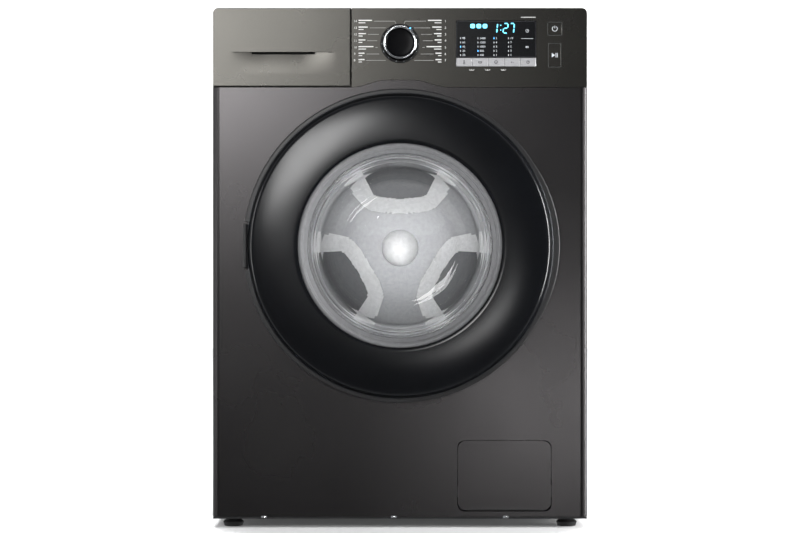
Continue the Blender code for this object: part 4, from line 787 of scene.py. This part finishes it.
def dial():
    """The knob's dark cap and bright ring, with the fixed skirt, its dots and lamp round it."""
    front, back, radius = KNOB_LOW.y, KNOB_HIGH.y, KNOB_HIGH.x
    centre = (0.0, DIAL_Z)
    cap = [(0.0, front + 0.0016)]
    cap += [((radius - 0.0062) * t, front + 0.0016 - 0.0006 * t ** 4) for t in (0.4, 0.7, 0.9, 1.0)]
    cap += near(radius, front, (-5.4, 1.6), (-4.4, 0.6), (-3.6, 1.4), (-2.0, 4.0), (-0.6, 11.0))
    cap += [(radius - 0.0002, FRONT - 0.0010), (radius - 0.0010, back), (0.0, back)]
    piece("dial_cap", *lathe(cap, 128, False, centre), KNOB, "dial", "black_gloss", ["dial_knob"], 26)
    bright = near(radius, front, (-3.4, 1.2), (-2.6, 0.3), (-1.6, 0), (-0.6, 0.5), (0, 1.8), (-1.0, 4.2))
    piece("dial_bright_ring", *lathe(bright, 128, True, centre), None, "dial", "chrome", smooth=50)
    skirt = near(radius, FRONT, (0.9, 0.4), (1.0, -2.2), (1.6, -2.8))
    skirt += near(SKIRT_RADIUS, FRONT, (-0.6, -1.6), (0, -0.6), (0, -0.1))
    piece("dial_skirt", *lathe(skirt, 128, True, centre), SKIRT, "cabinet", "black_gloss", smooth=30)
    grips = []
    for x, z in arc(0, DIAL_Z, radius - 0.00035, 0, 360, 60)[:-1]:
        grips.append(prism(arc(x, z, 0.00045, 0, 360, 6)[:-1], FRONT - 0.0060, front + 0.0100))
    piece("dial_grip_ribs", *gather(grips), KNOB, "dial", "black_gloss", smooth=60)
    places = arc(0, DIAL_Z, DOT_CIRCLE, 90 + DOT_GAP, 450 - DOT_GAP, 13)
    dots = [arc(x, z, 0.00055, 0, 360, 12)[:-1] for x, z in places]
    printed("dial_dots", dots, FRONT - 0.0022, PALE_INK, thick=0.0003)
    turn = math.atan2(0.7970 - DIAL_Z, 0.0163)
    along = Vector((math.cos(turn), math.sin(turn)))
    start, end = along * 0.0276, along * 0.0304
    lamp = stroke([(start.x, DIAL_Z + start.y), (end.x, DIAL_Z + end.y)], 0.0021)
    printed("dial_lamp", [lamp], FRONT - 0.0024, BLUE, thick=0.0004)


SEGMENTS_LIT = {"1": "bc", "2": "abged", "7": "abc"}


def digit(text, left, low, wide, tall, width):
    """The lit bars of one seven-segment figure, leaning slightly."""
    lean, middle, high = 0.10, low + tall / 2, low + tall
    ends = {
        "a": ((0, high), (wide, high)), "b": ((wide, high), (wide, middle)),
        "c": ((wide, middle), (wide, low)), "d": ((0, low), (wide, low)),
        "e": ((0, middle), (0, low)), "g": ((0, middle), (wide, middle)),
    }
    bars = []
    for segment in SEGMENTS_LIT[text]:
        first, last = (Vector(p) for p in ends[segment])
        ease = (last - first).normalized() * width * 0.75
        points = [first + ease, last - ease]
        bars.append(stroke([(left + p.x + lean * (p.y - low), p.y) for p in points], width))
    return bars


def display():
    """Behind the display's glass: lit time and three badges, number columns and a divider."""
    (left, surface, low), (right, _, high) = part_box("display_window")
    printed("display_edge", [], surface, DARK_INK, "cabinet", "black_gloss",
            [(round_box(left + 0.0012, low + 0.0012, right - 0.0012, high - 0.0012, 0.0025), 0.0006)])
    shapes = []
    for text, x in (("1", left + 0.0582), ("2", left + 0.0750), ("7", left + 0.0850)):
        shapes += digit(text, x, low + 0.0393, 0.0066, 0.0152, 0.0014)
    for z in (0.0432, 0.0508):
        x = left + 0.0707
        shapes.append(round_box(x, low + z, x + 0.0013, low + z + 0.0015, 0.0003, 1))
    notch = []
    for number in range(3):
        x = left + 0.0230 + number * 0.0098
        shapes.append(round_box(x, low + 0.0470, x + 0.0070, low + 0.0536, 0.0016, 3))
        for start in (x + 0.0018, x + 0.0042):
            notch.append(round_box(start, low + 0.0490, start + 0.0010, low + 0.0516, 0.0004, 1))
    printed("display_lit", shapes, surface, CYAN)
    printed("display_badge_marks", notch, surface - PRINT, DARK_INK, "cabinet", "black_gloss")
    rows = [low + 0.0308 - 0.0067 * row for row in range(5)]
    columns = (
        (0.0085, ("95", "60", "40", "30", "20")), (0.0362, ("1400", "1200", "1000", "800", "400")),
        (0.0618, ("5", "4", "3", "2", "1")), (0.0850, ("19", "7", "5", "3", "1")),
    )
    labels, marks, lamps = [], [], []
    lit_rows = {0: 2, 1: 3, 2: 0}
    for column, (place, texts) in enumerate(columns):
        x = left + place
        for row, (z, text) in enumerate(zip(rows, texts)):
            labels.append((text, x + 0.0014, z, 0.0033, "LEFT"))
            lamp = round_box(x - 0.0018, z - 0.0014, x - 0.0008, z + 0.0014, 0.0003, 1)
            (lamps if lit_rows.get(column) == row else marks).append(lamp)
    numerals("display_numbers", labels, surface, PALE_INK)
    x, z = right - 0.0141, high - 0.0163
    marks.append(stroke(near(x, high, (-9.8, -28.7), (9.6, -28.7)), 0.0005))
    marks += [stroke(near(x, z, (0, 0), (0, 1.5)), 0.0005), stroke(near(x, z, (0, 0), (1.2, 0)), 0.0005)]
    for start in (x - 0.0022, x + 0.0004):
        marks.append(round_box(start, high - 0.0436, start + 0.0014, high - 0.0408, 0.0003, 1))
    clock = arc(x, z, 0.0023, 0, 360, 20)[:-1]
    printed("display_marks", marks, surface, PALE_INK, loops=[(clock, 0.0005)])
    printed("display_lamps", lamps, surface, BLUE)


def drop(x, z, size):
    """A rounded teardrop, point up."""
    return arc(x, z - size * 0.25, size * 0.42, 150, 390, 12) + [(x, z + size * 0.75)]


ICON_LINE = 0.0008


def key_icons():
    """A generic pictogram on each key: temperature, spin, rinse, drops and delay."""
    for number in range(1, 6):
        low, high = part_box(f"option_key_{number}")
        x, z, surface = (low.x + high.x) / 2, (low.z + high.z) / 2, low.y
        loops, lines, shapes = [], [], []
        if number == 1:
            loops = [arc(x, z - 0.0018, 0.0013, 110, 430, 12) + near(x, z, (0.6, 2.6), (-0.6, 2.6))]
        elif number == 2:
            lines = [near(x, z, (-2.6, 1.2), (-2.0, -1.6), (2.0, -1.6), (2.6, 1.2))]
            lines.append(near(x, z, (-2.0, 0.4), (2.0, 0.4)))
        elif number == 3:
            loops = [arc(x, z, 0.0024, 0, 360, 20)[:-1]]
            shapes = [drop(x, z - 0.0002, 0.0016)]
        elif number == 4:
            shapes = [drop(x - 0.0012, z, 0.0018), drop(x + 0.0014, z - 0.0006, 0.0014)]
        else:
            loops = [arc(x, z, 0.0022, 0, 360, 20)[:-1]]
            lines = [near(x, z, (0, 0), (0, 1.4)), near(x, z, (0, 0), (1.1, 0))]
        shapes += [stroke(line, ICON_LINE) for line in lines]
        printed(f"key_icon_{number}", shapes, surface, DARK_INK, f"option_key_{number}", "black_plastic",
                [(loop, ICON_LINE) for loop in loops])


def under_key_marks():
    """The small marks under the keys that pair two of them, and the bar over the display."""
    shapes = []
    z = FASCIA_LOW.z + 0.0277
    for x in (0.1143, 0.1396, 0.1650):
        shapes.append(stroke(near(x, z, (-4.0, 1.0), (-3.0, -0.6), (3.0, -0.6), (4.0, 1.0)), 0.0007))
        shapes.append(drop(x, z + 0.0006, 0.0011))
    printed("pair_marks", shapes, FRONT, WHITE_INK)
    printed("corner_mark", [round_box(0.1930, 0.8138, 0.2165, 0.8154, 0.0004, 2)], FRONT, GREY_INK)


def button_dressing():
    """Bright frames round the power and start buttons, and their pictograms."""
    for node in ("power_button", "start_button"):
        low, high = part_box(node)
        x, z, surface = (low.x + high.x) / 2, (low.z + high.z) / 2, low.y
        ring = 0.0007
        outline = round_box(low.x - ring, low.z - ring, high.x + ring, high.z + ring, 0.0009, 3)
        printed(f"{node}_frame", [], FRONT, BUTTON_EDGE, "cabinet", "chrome", [(outline, 0.0008)], 0.0003)
        if node == "power_button":
            gapped = arc(x, z, 0.0040, 120, 420, 24)
            shapes = [stroke(line, 0.0009) for line in (gapped, near(x, z, (0, 0.8), (0, 5.0)))]
        else:
            shapes = [near(x, z, (-4.6, -3.6), (0.6, 0), (-4.6, 3.6))]
            for start in (x + 0.0014, x + 0.0036):
                shapes.append(round_box(start, z - 0.0036, start + 0.0011, z + 0.0036, 0.0001, 1))
        printed(f"{node}_icon", shapes, surface, PALE_INK, node)

# ---------------- drawer, flap and small trim

SCOOP = (0.7240, 0.7592)    # lower and upper edge of the scoop
SCOOP_DEPTH = 0.0030
SCOOP_HALF = 0.086
SCOOP_FLAT = 0.026          # half the length over which it has its full depth
FINGER_HALF = 0.051         # half the length of the finger slot


def drawer_face():
    """The drawer's front: a smooth scoop that fades at its ends and foot, and a finger slot with painted
    shadow at its back.
    """
    (left, front, low), (right, back, high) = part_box("drawer_front")
    middle = sum(end.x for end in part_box("drawer_tray")) / 2
    corner, edge = 0.008, 0.0006
    xs = np.unique(np.concatenate([np.linspace(left, right, 150), np.linspace(left, left + corner, 9)]))
    foot, lip = SCOOP
    zs = np.unique(np.concatenate([np.linspace(low, high, 84), np.linspace(high - corner, high, 9),
                                   [lip - 0.0004, lip + 0.0002]]))

    def depth(x, z):
        if not foot < z < lip:
            return 0.0
        rise = (z - foot) / (lip - foot)
        ends = min(1.0, max(0.0, (SCOOP_HALF - abs(x - middle)) / (SCOOP_HALF - SCOOP_FLAT)))
        ends = ends * ends * (3 - 2 * ends)
        return SCOOP_DEPTH * ends * rise ** 1.6

    def inside(x, z):
        """The place moved in to the rounded top corner."""
        dx, dz = left + corner - x, z - (high - corner)
        if dx > 0 and dz > 0:
            scale = max(dx, dz) / math.hypot(dx, dz)
            return left + corner - dx * scale, high - corner + dz * scale
        return x, z

    verts, faces = [], []
    for z in zs:
        for x in xs:
            px, pz = inside(x, z)
            rim = min(px - left, right - px, pz - low, high - pz)
            verts.append((px, front + depth(x, z) + (edge if rim < 0.0001 else 0.0), pz))
    wide, tall = len(xs), len(zs)
    for row in range(tall - 1):
        for i in range(wide - 1):
            a = row * wide + i
            faces.append((a, a + 1, a + wide + 1, a + wide))
    border = list(range(wide)) + [row * wide + wide - 1 for row in range(1, tall)]
    border += [(tall - 1) * wide + i for i in range(wide - 2, -1, -1)]
    border += [row * wide for row in range(tall - 2, 0, -1)]
    start = len(verts)
    verts += [(verts[i][0], back, verts[i][2]) for i in border]
    count = len(border)
    for i in range(count):
        on = (i + 1) % count
        faces.append((border[i], border[on], start + on, start + i))
    faces.append(tuple(range(start, start + count)))
    face = piece("drawer_face", verts, faces, None, "drawer", "graphite_plastic", ["drawer_front"], 28)
    slot = round_box(middle - FINGER_HALF, lip - 0.0038, middle + FINGER_HALF, lip + 0.0125, 0.0015, 3)
    pocket = prism(slot, front + 0.0007, front + 0.0122)
    carve(face, piece("finger_pocket", *pocket, SHADOW, "drawer", "black_plastic"))
    # A near-black plate at the back of the finger slot: painted shadow for the shade inside it.
    half = FINGER_HALF - 0.0004
    shadow_plate = round_box(middle - half, lip - 0.0040, middle + half, lip + 0.0120, 0.0014, 3)
    shadow_plate = prism(shadow_plate, front + 0.0112, front + 0.0120)
    piece("finger_slot_painted_shadow", *shadow_plate, SHADOW, "drawer", "black_plastic")


def base_trim():
    """Three clips that hold the front panel's lower edge, each with its screw."""
    low = PANEL_LOW.z
    for number, x in enumerate((-0.217, -0.010, 0.169)):
        clip = round_box(x - 0.0045, low - 0.0022, x + 0.0045, low + 0.0010, 0.0008, 3)
        made = piece(f"panel_clip_{number + 1}", *prism(clip, FRONT + 0.0003, FRONT - 0.0006),
                     None, "cabinet", "galvanised_steel")
        dome = near(0, FRONT, (0, -1.3), (1.0, -1.2), (1.4, -0.8), (1.4, -0.5), (0, -0.5))
        screw = lathe(dome, 20, False, (x, low - 0.0006))
        head = piece(f"clip_screw_{number + 1}", *screw, LOOKS["chrome"], None, "galvanised_steel")
        head.parent = made


def screw_heads(name, places, y, radius):
    """Cross-headed screws whose heads face the rear."""
    shapes = []
    dome = [(0.0, y + 0.0021), (radius * 0.45, y + 0.0019), (radius * 0.85, y + 0.0012),
            (radius, y + 0.0002), (radius, y), (0.0, y)]
    for x, z in places:
        shapes.append(lathe(dome, 24, False, (x, z)))
        for across, up in ((radius * 0.45, radius * 0.08), (radius * 0.08, radius * 0.45)):
            slot = [(x - across, z - up), (x + across, z - up), (x + across, z + up), (x - across, z + up)]
            shapes.append(prism(slot, y + 0.0015, y + 0.0022))
    piece(name, *gather(shapes), LOOKS["cast_aluminium"], "cabinet", "galvanised_steel", smooth=40)


def service_cover():
    """The rear cover: a stamped sheet with a stepped edge and a raised border."""
    (left, front, low), (right, back, high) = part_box("rear_cover")
    steps = []
    levels = [(0.0, front), *near(0, back, (0, -0.4), (0.4, 0), (11, 0), (13.5, 4.0), (15, 4.6), (90, 4.6),
                                  (91.5, 3.8), (93.5, 1.4), (95, 1.0))]
    for inset, y in levels:
        corner = max(0.004, 0.062 - inset)
        outline = round_box(left + inset, low + inset, right - inset, high - inset, corner, 10)
        steps.append([(x, y, z) for x, z in outline])
    count = len(steps[0])
    verts = [v for step in steps for v in step]
    faces = [tuple(range(count)), tuple(range((len(steps) - 1) * count, len(steps) * count))]
    for here in range(0, (len(steps) - 1) * count, count):
        for i in range(count):
            j = (i + 1) % count
            faces.append((here + i, here + j, here + count + j, here + count + i))
    piece("service_cover", verts, faces, None, "cabinet", "galvanised_steel", ["rear_cover"], 28)
    middle_z, half_x, half_z = (low + high) / 2, (right - left) / 2 - 0.0062, (high - low) / 2 - 0.0062
    places = [(sx * half_x, middle_z + t * half_z) for sx in (-1, 1) for t in (-0.62, 0, 0.62)]
    places += [(t * half_x, middle_z + sz * half_z) for sz in (-1, 1) for t in (-0.55, 0.55)]
    screw_heads("cover_screws", places, back + 0.0001, 0.0038)


# ---------------- stage, lights and camera

CAMERA_BACK = 3.5       # from the front panel
VIEW_WIDTH = 1.2766     # what the picture spans across the front panel
CAMERA_HEIGHT = 0.4169
SENSOR = 36.0


def stage(name, place, tilt, roughness, specular, grain, shades, glow):
    """A pale, faintly uneven plane, which glows a little."""
    pale = Finish(f"studio_{name}", roughness, specular=specular)
    dark, light = ((shade, shade, shade) for shade in shades)
    pale.colour(pale.noise(*grain), dark, light)
    pale.shader.inputs["Emission Color"].default_value = (1, 1, 1, 1)
    pale.shader.inputs["Emission Strength"].default_value = glow
    bpy.ops.mesh.primitive_plane_add(size=24, location=place, rotation=(tilt, 0, 0))
    plane = bpy.context.object
    plane.name = name
    plane.data.materials.append(pale.material)
    return plane


def area(name, where, aim, wide, tall, watts, spread=180):
    light = bpy.data.lights.new(name, "AREA")
    light.spread = math.radians(spread)
    light.shape, light.size, light.size_y = "RECTANGLE", wide, tall
    light.energy = watts
    obj = bpy.data.objects.new(name, light)
    obj.location = where
    obj.rotation_euler = (Vector(aim) - Vector(where)).to_track_quat("-Z", "Y").to_euler()
    bpy.context.scene.collection.objects.link(obj)


def lights():
    world = bpy.data.worlds.new("studio")
    world.use_nodes = True
    tree = world.node_tree
    tree.nodes["Background"].inputs["Color"].default_value = (0.84, 0.85, 0.87, 1)
    place = tree.nodes.new("ShaderNodeTexCoord")
    parts = tree.nodes.new("ShaderNodeSeparateXYZ")
    ramp = tree.nodes.new("ShaderNodeMapRange")
    for name, value in (("From Min", -0.92), ("From Max", 0.15), ("To Min", 0.06), ("To Max", 0.75)):
        ramp.inputs[name].default_value = value
    tree.links.new(place.outputs["Generated"], parts.inputs[0])
    tree.links.new(parts.outputs["Y"], ramp.inputs["Value"])
    tree.links.new(ramp.outputs[0], tree.nodes["Background"].inputs["Strength"])
    bpy.context.scene.world = world
    middle = (0, 0, 0.45)
    area("key", (-0.78, -3.30, 1.28), (-0.15, FRONT, 0.62), 1.0, 0.9, 37)
    area("low_fill", (0.50, -3.3, 0.02), (0.2, FRONT, 0.1), 0.5, 0.25, 4)
    area("right_strip", (2.3, -0.5, 0.55), (0.3, FRONT, 0.42), 0.30, 1.7, 110)
    area("left_strip", (-2.3, -0.9, 0.60), (-0.3, FRONT, 0.45), 0.30, 1.5, 18)
    area("top", (0, 2.0, 3.2), (0, 1.6, 0), 3.0, 3.0, 360)
    area("rear_fill", (1.4, 3.0, 1.8), middle, 1.6, 1.6, 34)
    area("drum_lamp", (0, GLASS_HIGH.y + 0.012, DOOR_Z + 0.02), (0, 1, DOOR_Z), 0.12, 0.12, 0.34, 115)


def camera():
    data = bpy.data.cameras.new("camera")
    data.sensor_width = SENSOR
    data.lens = SENSOR * CAMERA_BACK / VIEW_WIDTH
    obj = bpy.data.objects.new("camera", data)
    obj.location = (0, FRONT - CAMERA_BACK, CAMERA_HEIGHT)
    obj.rotation_euler = (math.pi / 2, 0, 0)
    bpy.context.scene.collection.objects.link(obj)
    bpy.context.scene.camera = obj


camera()
lights()
stage("floor", (0, 0, 0), 0, 0.85, 0.1, (2.5, 3), (0.86, 0.90), 0.04).visible_glossy = False
stage("backdrop", (0, 7.5, 6), math.pi / 2, 0.9, 0.0, (1.5, 2), (0.90, 0.93), 0.95)
bpy.context.scene.view_settings.view_transform = "Standard"

door_rim()
edge_line("door_edge_line", RIM_RADIUS - 0.0056, RIM_LOW.y + 0.0141, 0.0007, DIM_EDGE)
edge_line("door_outer_line", RIM_RADIUS + 0.0012, FRONT - 0.0125, 0.0012, BRIGHT_EDGE)
window_trim()
door_bowl()
back_ring()
gasket()
for node in ("tub_spring_left", "tub_spring_right"):
    flexing(node, "stainless_steel")
flexing("sump_bellows", "black_rubber")
drum_back()
drum_wall()
drum_holes()
hub_cap()
for number, arm in enumerate(STAR_ARMS):
    lifter(f"drum_lifter_{number + 1}", arm)
dial_printing()
dial()
display()
key_icons()
under_key_marks()
button_dressing()
drawer_face()
base_trim()
service_cover()
